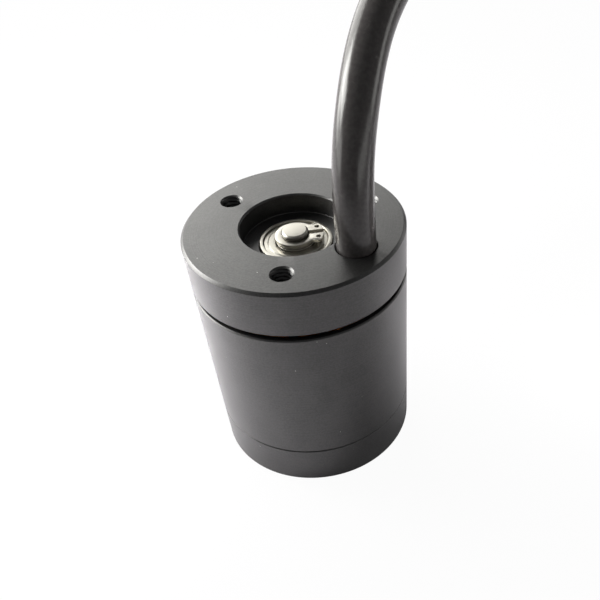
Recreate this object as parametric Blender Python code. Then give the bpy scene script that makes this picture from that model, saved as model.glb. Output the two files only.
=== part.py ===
"""Small waterproof brushless outrunner motor with a coiled three-core cable.

The motor stands on the flat front face of its bell. The fixed base, with the rear bearing,
the shaft end and the three tapped mounting holes, is on top. Lengths are in metres, +Z is up,
and the origin is the centre of the motor's lowest face.
"""

import math

import bmesh
import bpy
import numpy as np

MM = 0.001

# Case
MOTOR_HEIGHT = 29.5 * MM
BASE_HEIGHT = 5.4 * MM
RUNNING_GAP = 0.62 * MM         # between the fixed base and the turning bell
EDGE_CHAMFER = 0.3 * MM
FINE_CHAMFER = 0.15 * MM
FIT_GAP = 0.05 * MM             # clearance of a ring, plate or plug in its seat
SHAFT_FIT = 0.03 * MM           # clearance of what sits on the shaft

# Ball bearings, both alike
BEARING_BORE_RADIUS = 1.5 * MM
BEARING_OUTER_RADIUS = 4.0 * MM
BEARING_WIDTH = 4.0 * MM
BALL_RADIUS = 0.75 * MM
BALL_PITCH_RADIUS = 2.75 * MM
BALL_COUNT = 7
BALL_CLEARANCE = 0.04 * MM
OUTER_LAND_RADIUS = 3.35 * MM
INNER_LAND_RADIUS = 2.12 * MM
SHIELD_SEAT_RADIUS = 3.55 * MM
SHIELD_SEAT_DEPTH = 0.5 * MM
SHIELD_THICKNESS = 0.2 * MM
SHIELD_INSET = 0.12 * MM
SHIELD_CLEARANCE = 0.1 * MM     # from the shield to the turning inner race
CAGE_WALL = 0.25 * MM           # half the radial thickness of the cage ring
CAGE_HEIGHT = 0.5 * MM

# Base housing
RECESS_RADIUS = 5.8 * MM
RECESS_DEPTH = 2.5 * MM
BEARING_PROUD = 0.3 * MM        # of the rear bearing above the floor of the recess
TUBE_WALL = 0.85 * MM
SHOULDER_WIDTH = 0.5 * MM       # that a bearing rests on
NECK_STEP = 0.4 * MM            # of the neck inside the core's yoke
NECK_LENGTH = 4.7 * MM
MOUNT_HOLE_CIRCLE = 8.75 * MM
MOUNT_HOLE_RADIUS = 1.03 * MM
MOUNT_HOLE_DEPTH = 4.2 * MM
MOUNT_HOLE_SINK = 0.24 * MM
MOUNT_HOLE_ANGLES = (18.0, 138.0, 258.0)

# Cable
CABLE_RADIUS = 2.05 * MM
CABLE_HOLE_GAP = 0.1 * MM
CABLE_HOLE_WALL = 0.1 * MM      # left between the recess and the cable's hole
CABLE_HOLE_ANGLE = -42.0
CABLE_GRIP = 3.4 * MM           # of the cable inside its hole
CABLE_STRAIGHT = 0.2 * MM       # that the cable stays straight above its hole
SEAL_HEIGHT = 1.8 * MM
CORE_RADIUS = 0.75 * MM
TAIL_RADIUS = 0.35 * MM
TAIL_CIRCLE = 1.1 * MM
TAIL_ENDS = ((60.0, 0.0), (180.0, 330.0), (-60.0, 300.0))  # angle in the cable, and of the tooth

# Stator
SLOT_COUNT = 12
CORE_HEIGHT = 11.0 * MM
YOKE_DEPTH = 1.05 * MM
TOOTH_HALF_WIDTH = 0.75 * MM
WINDING_CLEARANCE = 0.2 * MM    # between the windings and the core's yoke
WINDING_DEPTH = 1.9 * MM
SHOE_DEPTH = 0.9 * MM
SHOE_HALF_ANGLE = 12.2
INSULATOR_THICKNESS = 0.4 * MM
COIL_THICKNESS = 0.7 * MM
COIL_OVERHANG = 1.0 * MM

# Rotor
CAN_WALL = 0.8 * MM
FLUX_WALL = 0.8 * MM
FLUX_INSET = 2.4 * MM           # of the flux ring below the bell's rim
MAGNET_COUNT = 14
MAGNET_THICKNESS = 1.0 * MM
MAGNET_LENGTH = 12.2 * MM
MAGNET_ARC = 21.0
AIR_GAP = 0.25 * MM
CAP_HEIGHT = 5.5 * MM
CAP_PLATE = 2.4 * MM
SPIGOT_HEIGHT = 1.5 * MM
SPIGOT_WALL = 0.9 * MM
HUB_RADIUS = 3.2 * MM
HUB_HEIGHT = 2.0 * MM
HUB_CLEARANCE = 0.1 * MM        # between the hub and the front bearing
PROP_HOLE_COUNT = 4
PROP_HOLE_CIRCLE = 6.0 * MM
PROP_HOLE_START = 45.0
PROP_HOLE_RADIUS = 0.8 * MM
SHAFT_RADIUS = BEARING_BORE_RADIUS - SHAFT_FIT
SHAFT_TIP_DEPTH = 1.0 * MM      # of the shaft end below the base's face
SHAFT_INSET = 0.2 * MM
SHAFT_TIP_CHAMFER = 0.25 * MM
SHIM_THICKNESS = 0.15 * MM
SHIM_RADIUS = 2.05 * MM
CLIP_THICKNESS = 0.4 * MM
CLIP_GROOVE_DEPTH = 0.15 * MM
CLIP_BODY_RADIUS = 2.3 * MM
CLIP_LUG_RADIUS = 3.15 * MM
CLIP_LUG_ANGLE = 34.0
CLIP_LUG_FALL = 10.0            # degrees over which a lug narrows to the body
CLIP_GAP = 0.28 * MM            # half the opening between the lugs
CLIP_EYE_RADIUS = 0.26 * MM
CLIP_EYE_CIRCLE = 2.6 * MM
CLIP_EYE_ANGLE = 21.0

# Coil of the cable, and the cable's end inside it
COIL_CENTRE = (69.5 * MM, 6.0 * MM)
COIL_RADIUS = 21.5 * MM
COIL_PITCH = 4.17 * MM          # that the cable falls in a lap
COIL_START_ANGLE = 268.0
COIL_END_ANGLE = 315.0
COIL_LAPS = 2
COIL_STEP = 24.0                # degrees between the points of a lap
TAIL_LEVEL = 2.5 * MM
TAIL_FALL = 0.7 * MM            # from the last lap down to the tail's level
TAIL_FALL_TURN = 100.0
TAIL_BEND_RADIUS = 16.9 * MM
TAIL_TURN = 180.0
TAIL_STEP = 20.0
TIE_THICKNESS = 0.4 * MM
TIE_GAP = 0.15 * MM
TIE_WIDTH = 2.5 * MM
TIE_ANGLE = 300.0
TIE_CORNER = 1.2 * MM
SLEEVE_RADIUS = 2.5 * MM
SLEEVE_LENGTH = 8.0 * MM
LEAD_BEND_RADIUS = 3.0 * MM     # of the innermost lead
LEAD_SPACING = 1.55 * MM
LEAD_LEVEL = 0.9 * MM
LEAD_MOUTH_LEVEL = 1.5 * MM
PLUG_RADIUS = 1.6 * MM
PLUG_PIN_RADIUS = 1.0 * MM
PLUG_LENGTH = 9.0 * MM
PLUG_BARREL = 4.8 * MM
PLUG_WAIST_RADIUS = 0.8 * MM    # where the pin meets the barrel
PLUG_TIP_RADIUS = 0.6 * MM
PLUG_NOSE = 0.6 * MM
PLUG_LEAD_IN = 1.5 * MM         # straight stretch of a lead before its plug
PLUG_PITCH = 3.9 * MM
PLUG_SETBACK = 3.2 * MM         # of the plugs' ends from the coil's centre
END_GAP = 0.3 * MM              # between a lead and what it ends at
STRETCH_GAP = 0.5 * MM          # between one stretch of the cable and the next
CABLE_POINTS_PER_STEP = 3       # of the curve, for each point of its route

# Facets round a full turn
CASE_SIDES = 48
CORE_BORE_SIDES = 36
RACE_SIDES = 30
SHAFT_SIDES = 24
HOLE_SIDES = 18
CABLE_HOLE_SIDES = 24
CLIP_EYE_SIDES = 10
SLEEVE_SIDES = 16
PLUG_SIDES = 12
BALL_SIDES = 8
BALL_BANDS = 5

# Levels, from the top down
TOP = MOTOR_HEIGHT
BASE_UNDERSIDE = TOP - BASE_HEIGHT
BELL_TOP = BASE_UNDERSIDE - RUNNING_GAP
RECESS_FLOOR = TOP - RECESS_DEPTH
REAR_BEARING_TOP = RECESS_FLOOR + BEARING_PROUD
REAR_BEARING_MIDDLE = REAR_BEARING_TOP - BEARING_WIDTH / 2
HUB_TOP = CAP_PLATE + HUB_HEIGHT
FRONT_BEARING_BOTTOM = HUB_TOP + HUB_CLEARANCE
FRONT_BEARING_MIDDLE = FRONT_BEARING_BOTTOM + BEARING_WIDTH / 2
CORE_TOP = BASE_UNDERSIDE - NECK_LENGTH - FIT_GAP
CORE_MIDDLE = CORE_TOP - CORE_HEIGHT / 2
CORE_BOTTOM = CORE_TOP - CORE_HEIGHT
SHAFT_TOP = TOP - SHAFT_TIP_DEPTH
SHIM_BOTTOM = REAR_BEARING_TOP + FIT_GAP
CLIP_BOTTOM = SHIM_BOTTOM + SHIM_THICKNESS + FIT_GAP
CAN_BOTTOM = CAP_HEIGHT + FIT_GAP
SPIGOT_TOP = CAP_HEIGHT + SPIGOT_HEIGHT

# Radii, from the bearing out to the case
SEAT_RADIUS = BEARING_OUTER_RADIUS + FIT_GAP
TUBE_RADIUS = SEAT_RADIUS + TUBE_WALL
CORE_BORE_RADIUS = TUBE_RADIUS + FIT_GAP
YOKE_RADIUS = CORE_BORE_RADIUS + YOKE_DEPTH
NECK_RADIUS = YOKE_RADIUS - NECK_STEP
WINDING_INNER_RADIUS = YOKE_RADIUS + WINDING_CLEARANCE
WINDING_OUTER_RADIUS = WINDING_INNER_RADIUS + WINDING_DEPTH
SHOE_INNER_RADIUS = WINDING_OUTER_RADIUS + FIT_GAP
CORE_OUTER_RADIUS = SHOE_INNER_RADIUS + SHOE_DEPTH
MAGNET_INNER_RADIUS = CORE_OUTER_RADIUS + AIR_GAP
MAGNET_OUTER_RADIUS = MAGNET_INNER_RADIUS + MAGNET_THICKNESS
FLUX_INNER_RADIUS = MAGNET_OUTER_RADIUS + FIT_GAP
FLUX_OUTER_RADIUS = FLUX_INNER_RADIUS + FLUX_WALL
CAN_INNER_RADIUS = FLUX_OUTER_RADIUS + FIT_GAP
MOTOR_RADIUS = CAN_INNER_RADIUS + CAN_WALL
CABLE_HOLE_RADIUS = CABLE_RADIUS + CABLE_HOLE_GAP
CABLE_HOLE_CIRCLE = RECESS_RADIUS + CABLE_HOLE_WALL + CABLE_HOLE_RADIUS
COIL_INNER_HALF = TOOTH_HALF_WIDTH + FIT_GAP
CUT_OVER = 1.0 * MM             # that a cutter reaches past what it cuts

TURN = 2 * math.pi


def polar(radius, degrees, z=0.0):
    """The point at that radius and angle round the motor's axis."""
    angle = math.radians(degrees)
    return (radius * math.cos(angle), radius * math.sin(angle), z)


CABLE_X, CABLE_Y, _ = polar(CABLE_HOLE_CIRCLE, CABLE_HOLE_ANGLE)

# The cable's free stretch: straight out of its hole, over in an arch and down on its coil
FREE_ROUTE = [
    (CABLE_X, CABLE_Y, TOP - CABLE_GRIP),
    (CABLE_X, CABLE_Y, TOP - CABLE_GRIP / 2),
    (CABLE_X, CABLE_Y, TOP + CABLE_STRAIGHT),
    (0.0060, -0.0051, 0.0334),
    (0.0063, -0.0039, 0.0377),
    (0.0073, -0.0015, 0.0421),
    (0.0090, 0.0022, 0.0460),
    (0.0119, 0.0064, 0.0496),
    (0.0163, 0.0094, 0.0530),
    (0.0219, 0.0113, 0.0552),
    (0.0284, 0.0117, 0.0558),
    (0.0358, 0.0109, 0.0536),
    (0.0415, 0.0092, 0.0485),
    (0.0448, 0.0064, 0.0415),
    (0.0467, 0.0019, 0.0337),
    (0.0489, -0.0020, 0.0260),
    (0.0511, -0.0073, 0.0196),
    (0.0556, -0.0113, 0.0150),
    (0.0606, -0.0135, 0.0128),
]


# --- materials ---------------------------------------------------------------------------------

FINISHES = {
    "black_anodised": ((0.045, 0.045, 0.048), 0.38, 0.9),
    "bright_steel": ((0.72, 0.71, 0.66), 0.22, 1.0),
    "lamination": ((0.30, 0.31, 0.33), 0.5, 0.9),
    "magnet_nickel": ((0.55, 0.54, 0.50), 0.3, 1.0),
    "zinc_steel": ((0.45, 0.45, 0.46), 0.4, 1.0),
    "copper_enamel": ((0.62, 0.24, 0.09), 0.35, 0.9),
    "green_insulator": ((0.06, 0.22, 0.12), 0.6, 0.0),
    "seal_resin": ((0.03, 0.03, 0.03), 0.3, 0.0),
    "cable_sheath": ((0.02, 0.02, 0.021), 0.3, 0.0),
    "lead_insulation": ((0.02, 0.02, 0.02), 0.5, 0.0),
    "shrink_sleeve": ((0.025, 0.025, 0.026), 0.45, 0.0),
    "gold_plating": ((0.85, 0.62, 0.25), 0.25, 1.0),
    "tie_plastic": ((0.03, 0.03, 0.03), 0.5, 0.0),
}


def finish(obj, name):
    """Gives the object its own Principled material in one of the finishes."""
    color, roughness, metallic = FINISHES[name]
    material = bpy.data.materials.new(f"{obj.name}_{name}")
    material.use_nodes = True
    shader = material.node_tree.nodes["Principled BSDF"]
    shader.inputs["Base Color"].default_value = (*color, 1.0)
    shader.inputs["Roughness"].default_value = roughness
    shader.inputs["Metallic"].default_value = metallic
    if obj.data.materials:
        obj.data.materials[0] = material
    else:
        obj.data.materials.append(material)


# --- shapes ------------------------------------------------------------------------------------


def mesh_from(bm, name):
    """A smooth-shaded mesh with outward faces and crisp edges, from a bmesh."""
    bmesh.ops.recalc_face_normals(bm, faces=bm.faces)
    mesh = bpy.data.meshes.new(name)
    bm.to_mesh(mesh)
    bm.free()
    mesh.shade_smooth()
    mesh.set_sharp_from_angle(angle=math.radians(30))
    return mesh


def place(name, mesh, material=None, turn=0.0, parent=None, location=(0.0, 0.0, 0.0)):
    """Puts a mesh into the scene as one named object."""
    obj = bpy.data.objects.new(name, mesh)
    bpy.context.scene.collection.objects.link(obj)
    obj.location = location
    obj.rotation_euler = (0.0, 0.0, math.radians(turn))
    obj.parent = parent
    if material:
        finish(obj, material)
    return obj


def turned(name, profile, sides):
    """A closed profile of (radius, z) points, spun round the Z axis."""
    bm = bmesh.new()
    points = [bm.verts.new((radius, 0.0, z)) for radius, z in profile]
    edges = [bm.edges.new((a, b)) for a, b in zip(points, points[1:] + points[:1])]
    bmesh.ops.spin(
        bm, geom=points + edges, cent=(0, 0, 0), axis=(0, 0, 1), dvec=(0, 0, 0),
        angle=TURN, steps=sides, use_merge=True, use_duplicate=False,
    )
    bmesh.ops.remove_doubles(bm, verts=bm.verts, dist=1e-7)
    return mesh_from(bm, name)


def spindle(name, profile, sides):
    """An open profile whose two ends lie on the Z axis, spun into a solid bar."""
    bm = bmesh.new()
    points = [bm.verts.new((radius, 0.0, z)) for radius, z in profile]
    edges = [bm.edges.new((a, b)) for a, b in zip(points, points[1:])]
    bmesh.ops.spin(
        bm, geom=points + edges, cent=(0, 0, 0), axis=(0, 0, 1), dvec=(0, 0, 0),
        angle=TURN, steps=sides, use_merge=True, use_duplicate=False,
    )
    bmesh.ops.remove_doubles(bm, verts=bm.verts, dist=1e-7)
    return mesh_from(bm, name)


def extruded(name, outline, bottom, top):
    """A flat outline of (x, y) points, drawn up from one level to another."""
    bm = bmesh.new()
    face = bm.faces.new([bm.verts.new((x, y, bottom)) for x, y in outline])
    drawn = bmesh.ops.extrude_face_region(bm, geom=[face])
    risen = [v for v in drawn["geom"] if isinstance(v, bmesh.types.BMVert)]
    bmesh.ops.translate(bm, vec=(0, 0, top - bottom), verts=risen)
    return mesh_from(bm, name)


def framed(name, outer, inner):
    """A closed frame: two outer and two inner loops of 3-D points, one of each at either end,
    with a quad from each edge of a loop to the same edge of the next."""
    bm = bmesh.new()
    loops = [[bm.verts.new(p) for p in loop] for loop in (outer[0], outer[1], inner[1], inner[0])]
    for first, second in zip(loops, loops[1:] + loops[:1]):
        for i, point in enumerate(first):
            bm.faces.new((first[i - 1], point, second[i], second[i - 1]))
    return mesh_from(bm, name)


def cutter(name, mesh):
    """A hidden object that only cuts another."""
    obj = place(name, mesh)
    obj.hide_render = True
    obj.display_type = "WIRE"
    return obj


def joined(name, meshes):
    """One mesh that holds several separate shapes, each moved by its own offset and turn."""
    bm = bmesh.new()
    for mesh, offset, turn in meshes:
        before = len(bm.verts)
        bm.from_mesh(mesh)
        bm.verts.ensure_lookup_table()
        fresh = bm.verts[before:]
        cosine, sine = math.cos(math.radians(turn)), math.sin(math.radians(turn))
        for vert in fresh:
            x, y, z = vert.co
            vert.co = (x * cosine - y * sine + offset[0], x * sine + y * cosine + offset[1], z + offset[2])
    mesh = bpy.data.meshes.new(name)
    bm.to_mesh(mesh)
    bm.free()
    return mesh


def combine(obj, other, operation):
    """Cuts or adds the other object, with Blender's exact solver."""
    modifier = obj.modifiers.new(operation.lower(), "BOOLEAN")
    modifier.operation = operation
    modifier.solver = "EXACT"
    modifier.object = other


def smooth_curve(points, per_stretch):
    """Points along the natural cubic spline through the given points.

    The spline's second derivatives solve a tridiagonal system, with none at the two ends.
    """
    points = np.array(points)
    gaps = np.linalg.norm(np.diff(points, axis=0), axis=1)
    count = len(points)
    system = np.eye(count)
    right = np.zeros((count, 3))
    for i in range(1, count - 1):
        system[i, i - 1:i + 2] = gaps[i - 1], 2 * (gaps[i - 1] + gaps[i]), gaps[i]
        right[i] = 6 * ((points[i + 1] - points[i]) / gaps[i] - (points[i] - points[i - 1]) / gaps[i - 1])
    bend = np.linalg.solve(system, right)
    t = (np.arange(per_stretch) / per_stretch)[None, :, None]
    start, end = points[:-1, None], points[1:, None]
    span = gaps[:, None, None] ** 2 / 6
    pull = bend[:-1, None] * t * (1 - t) * (2 - t) + bend[1:, None] * t * (1 - t) * (1 + t)
    curve = start * (1 - t) + end * t - span * pull
    return np.vstack([curve.reshape(-1, 3), points[-1:]])


def tube(name, points, radius, finish_name):
    """A round solid along a line of points, as a bevelled curve with closed ends."""
    curve = bpy.data.curves.new(name, "CURVE")
    curve.dimensions = "3D"
    curve.bevel_depth = radius
    curve.bevel_resolution = 2
    curve.use_fill_caps = True
    spline = curve.splines.new("POLY")
    spline.points.add(len(points) - 1)
    for point, place_at in zip(spline.points, points):
        point.co = (*place_at, 1.0)
    obj = bpy.data.objects.new(name, curve)
    bpy.context.scene.collection.objects.link(obj)
    finish(obj, finish_name)
    return obj


def arc(radius, start, end, steps):
    """Points (x, y) on an arc, both ends included, angles in degrees."""
    angles = np.radians(np.linspace(start, end, steps + 1))
    return [(radius * math.cos(a), radius * math.sin(a)) for a in angles]


def circle(radius, sides):
    """The corners (x, y) of a regular polygon on a circle."""
    return arc(radius, 0, 360 - 360 / sides, sides - 1)


# --- fixed side --------------------------------------------------------------------------------


def base_housing():
    """The flange with its recess, and the bearing tube below it, turned in one piece."""
    shoulder_radius = SEAT_RADIUS - SHOULDER_WIDTH - FIT_GAP
    rear_shoulder = REAR_BEARING_TOP - BEARING_WIDTH - FIT_GAP
    front_shoulder = FRONT_BEARING_BOTTOM + BEARING_WIDTH + FIT_GAP
    profile = [
        (RECESS_RADIUS + FINE_CHAMFER, TOP),
        (MOTOR_RADIUS - EDGE_CHAMFER, TOP),
        (MOTOR_RADIUS, TOP - EDGE_CHAMFER),
        (MOTOR_RADIUS, BASE_UNDERSIDE + FINE_CHAMFER),
        (MOTOR_RADIUS - FINE_CHAMFER, BASE_UNDERSIDE),
        (NECK_RADIUS, BASE_UNDERSIDE),
        (NECK_RADIUS, BASE_UNDERSIDE - NECK_LENGTH),
        (TUBE_RADIUS, BASE_UNDERSIDE - NECK_LENGTH),
        (TUBE_RADIUS, FRONT_BEARING_BOTTOM + FINE_CHAMFER),
        (TUBE_RADIUS - FINE_CHAMFER, FRONT_BEARING_BOTTOM),
        (SEAT_RADIUS, FRONT_BEARING_BOTTOM),
        (SEAT_RADIUS, front_shoulder),
        (shoulder_radius, front_shoulder),
        (shoulder_radius, rear_shoulder),
        (SEAT_RADIUS, rear_shoulder),
        (SEAT_RADIUS, RECESS_FLOOR),
        (RECESS_RADIUS, RECESS_FLOOR),
        (RECESS_RADIUS, TOP - FINE_CHAMFER),
    ]
    housing = place("base_housing", turned("base_housing", profile, CASE_SIDES), "black_anodised")
    bottom = TOP - MOUNT_HOLE_DEPTH
    flare = MOUNT_HOLE_SINK + CUT_OVER
    tap = spindle("mount_hole", [
        (0.0, TOP + CUT_OVER),
        (MOUNT_HOLE_RADIUS + flare, TOP + CUT_OVER),
        (MOUNT_HOLE_RADIUS, TOP - MOUNT_HOLE_SINK),
        (MOUNT_HOLE_RADIUS, bottom),
        (0.0, bottom),
    ], HOLE_SIDES)
    for number, angle in enumerate(MOUNT_HOLE_ANGLES, 1):
        hole = cutter(f"mount_hole_{number}", tap)
        hole.location = polar(MOUNT_HOLE_CIRCLE, angle)
        combine(housing, hole, "DIFFERENCE")
    passage = extruded("cable_hole", circle(CABLE_HOLE_RADIUS, CABLE_HOLE_SIDES),
                       BASE_UNDERSIDE - CUT_OVER, TOP + CUT_OVER)
    hole = cutter("cable_hole", passage)
    hole.location = (CABLE_X, CABLE_Y, 0.0)
    combine(housing, hole, "DIFFERENCE")


def race_meshes():
    """Outer race, shield and inner race of a bearing, centred on the origin."""
    half = BEARING_WIDTH / 2
    track = BALL_RADIUS + BALL_CLEARANCE
    outer_track = BALL_PITCH_RADIUS + track
    inner_track = BALL_PITCH_RADIUS - track
    seat = half - SHIELD_SEAT_DEPTH
    outer = turned("outer_race", [
        (SHIELD_SEAT_RADIUS, half),
        (BEARING_OUTER_RADIUS - FINE_CHAMFER, half),
        (BEARING_OUTER_RADIUS, half - FINE_CHAMFER),
        (BEARING_OUTER_RADIUS, FINE_CHAMFER - half),
        (BEARING_OUTER_RADIUS - FINE_CHAMFER, -half),
        (SHIELD_SEAT_RADIUS, -half),
        (SHIELD_SEAT_RADIUS, -seat),
        (OUTER_LAND_RADIUS, -seat),
        (OUTER_LAND_RADIUS, -BALL_RADIUS),
        (outer_track, 0.0),
        (OUTER_LAND_RADIUS, BALL_RADIUS),
        (OUTER_LAND_RADIUS, seat),
        (SHIELD_SEAT_RADIUS, seat),
    ], RACE_SIDES)
    inner = turned("inner_race", [
        (BEARING_BORE_RADIUS, half - FINE_CHAMFER),
        (BEARING_BORE_RADIUS + FINE_CHAMFER, half),
        (INNER_LAND_RADIUS, half),
        (INNER_LAND_RADIUS, BALL_RADIUS),
        (inner_track, 0.0),
        (INNER_LAND_RADIUS, -BALL_RADIUS),
        (INNER_LAND_RADIUS, -half),
        (BEARING_BORE_RADIUS + FINE_CHAMFER, -half),
        (BEARING_BORE_RADIUS, FINE_CHAMFER - half),
    ], RACE_SIDES)
    lid_top = half - SHIELD_INSET
    lid_bottom = lid_top - SHIELD_THICKNESS
    lid_inner = INNER_LAND_RADIUS + SHIELD_CLEARANCE
    lid_outer = SHIELD_SEAT_RADIUS - FIT_GAP
    step = OUTER_LAND_RADIUS - SHIELD_CLEARANCE
    lid = turned("shield", [
        (lid_inner, lid_top),
        (step - SHIELD_THICKNESS, lid_top),
        (step, lid_top - FIT_GAP),
        (lid_outer, lid_top - FIT_GAP),
        (lid_outer, lid_bottom),
        (lid_inner, lid_bottom),
    ], RACE_SIDES)
    return outer, inner, lid


def ball_mesh():
    """A low-faceted ball, with its poles on the Z axis."""
    bm = bmesh.new()
    bmesh.ops.create_uvsphere(bm, u_segments=BALL_SIDES, v_segments=BALL_BANDS, radius=BALL_RADIUS)
    return mesh_from(bm, "ball")


def ball_cage(name, middle, parent):
    """The bearing's balls, held in one ring that runs between the races."""
    ring = turned(f"{name}_ring", [
        (BALL_PITCH_RADIUS + CAGE_WALL, -BALL_RADIUS / 2),
        (BALL_PITCH_RADIUS + CAGE_WALL, -BALL_RADIUS / 2 - CAGE_HEIGHT),
        (BALL_PITCH_RADIUS - CAGE_WALL, -BALL_RADIUS / 2 - CAGE_HEIGHT),
        (BALL_PITCH_RADIUS - CAGE_WALL, -BALL_RADIUS / 2),
    ], 4 * BALL_COUNT)
    cage = place(name, ring, "bright_steel", parent=parent, location=(0.0, 0.0, middle))
    ball = ball_mesh()
    spots = [(ball, polar(BALL_PITCH_RADIUS, i * 360 / BALL_COUNT), 0.0) for i in range(BALL_COUNT)]
    balls = cutter(f"{name}_balls", joined(f"{name}_balls", spots))
    balls.location = (0.0, 0.0, middle)
    combine(cage, balls, "UNION")


def stator_core():
    """The lamination stack: a yoke, twelve teeth and their shoes, round the bearing tube."""
    outline = []
    pitch = 360 / SLOT_COUNT
    foot = math.degrees(math.asin(TOOTH_HALF_WIDTH / YOKE_RADIUS))
    neck = math.degrees(math.asin(TOOTH_HALF_WIDTH / SHOE_INNER_RADIUS))
    tip = CORE_OUTER_RADIUS - SHOE_DEPTH / 3
    for slot in range(SLOT_COUNT):
        at = slot * pitch
        outline += arc(YOKE_RADIUS, at - pitch / 2, at - foot, 2)
        outline += [polar(SHOE_INNER_RADIUS, at - neck)[:2], polar(tip, at - SHOE_HALF_ANGLE)[:2]]
        outline += arc(CORE_OUTER_RADIUS, at - SHOE_HALF_ANGLE, at + SHOE_HALF_ANGLE, 4)
        outline += [polar(tip, at + SHOE_HALF_ANGLE)[:2], polar(SHOE_INNER_RADIUS, at + neck)[:2]]
        outline += arc(YOKE_RADIUS, at + foot, at + pitch / 2, 2)[:-1]
    core = place("stator_core", extruded("stator_core", outline, CORE_BOTTOM, CORE_TOP), "lamination")
    bore = circle(CORE_BORE_RADIUS, CORE_BORE_SIDES)
    drill = extruded("core_bore", bore, CORE_BOTTOM - CUT_OVER, CORE_TOP + CUT_OVER)
    combine(core, cutter("core_bore", drill), "DIFFERENCE")


def end_insulator(name, bottom, inner_radius):
    """The star-shaped plate that keeps the windings off one end of the core."""
    outline = []
    pitch = 360 / SLOT_COUNT
    width = TOOTH_HALF_WIDTH
    foot = math.degrees(math.asin(width / YOKE_RADIUS))
    for slot in range(SLOT_COUNT):
        at = slot * pitch
        end = math.degrees(math.asin(width / SHOE_INNER_RADIUS))
        outline += arc(YOKE_RADIUS, at - pitch / 2, at - foot, 1)
        outline += [polar(SHOE_INNER_RADIUS, at - end)[:2], polar(SHOE_INNER_RADIUS, at + end)[:2]]
        outline += arc(YOKE_RADIUS, at + foot, at + pitch / 2, 1)[:-1]
    plate = place(name, extruded(name, outline, bottom, bottom + INSULATOR_THICKNESS), "green_insulator")
    bore = circle(inner_radius, CORE_BORE_SIDES)
    drill = extruded(f"{name}_bore", bore, bottom - CUT_OVER, bottom + INSULATOR_THICKNESS + CUT_OVER)
    combine(plate, cutter(f"{name}_bore", drill), "DIFFERENCE")


def loop_round(half_width, half_height, corner, x):
    """A rectangle in the plane at that x, with bevelled corners."""
    points = []
    for quarter, (across, up) in enumerate(((1, 1), (-1, 1), (-1, -1), (1, -1))):
        for dy, dz in arc(corner, 90 * quarter, 90 * quarter + 90, 1):
            points.append((x, across * (half_width - corner) + dy, up * (half_height - corner) + dz))
    return points


def windings():
    """One coil round each tooth, all the same mesh turned to its tooth."""
    inner_height = CORE_HEIGHT / 2 + INSULATOR_THICKNESS + 2 * FIT_GAP
    outer_width = COIL_INNER_HALF + COIL_THICKNESS
    outer_height = inner_height + COIL_OVERHANG
    ends = (WINDING_INNER_RADIUS, WINDING_OUTER_RADIUS)
    outer = [loop_round(outer_width, outer_height, COIL_THICKNESS, x) for x in ends]
    inner = [loop_round(COIL_INNER_HALF, inner_height, FIT_GAP, x) for x in ends]
    mesh = framed("winding", outer, inner)
    for number in range(SLOT_COUNT):
        place(f"winding_{number + 1:02d}", mesh.copy(), "copper_enamel",
              turn=number * 360 / SLOT_COUNT, location=(0.0, 0.0, CORE_MIDDLE))
    return CORE_MIDDLE + outer_height


def cable_entry(winding_top):
    """The resin plug below the cable's end, and a tail from it to each phase's winding."""
    top = TOP - CABLE_GRIP - END_GAP
    plug = extruded("cable_seal", circle(CABLE_RADIUS, CABLE_HOLE_SIDES), top - SEAL_HEIGHT, top)
    place("cable_seal", plug, "seal_resin", location=(CABLE_X, CABLE_Y, 0.0))
    rise = top - SEAL_HEIGHT - END_GAP - winding_top
    for number, (side, tooth) in enumerate(TAIL_ENDS, 1):
        dx, dy, _ = polar(TAIL_CIRCLE, CABLE_HOLE_ANGLE + side)
        x, y = CABLE_X + dx, CABLE_Y + dy
        end_x, end_y, _ = polar((WINDING_INNER_RADIUS + WINDING_OUTER_RADIUS) / 2, tooth)
        tube(f"winding_tail_{number}", smooth_curve([
            (x, y, winding_top + rise),
            (x, y, winding_top + rise * 0.7),
            ((x + end_x) / 2, (y + end_y) / 2, winding_top + rise * 0.5),
            (end_x, end_y, winding_top + rise * 0.3),
            (end_x, end_y, winding_top + END_GAP / 2),
        ], 2), TAIL_RADIUS, "copper_enamel")


# --- turning side ------------------------------------------------------------------------------


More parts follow.
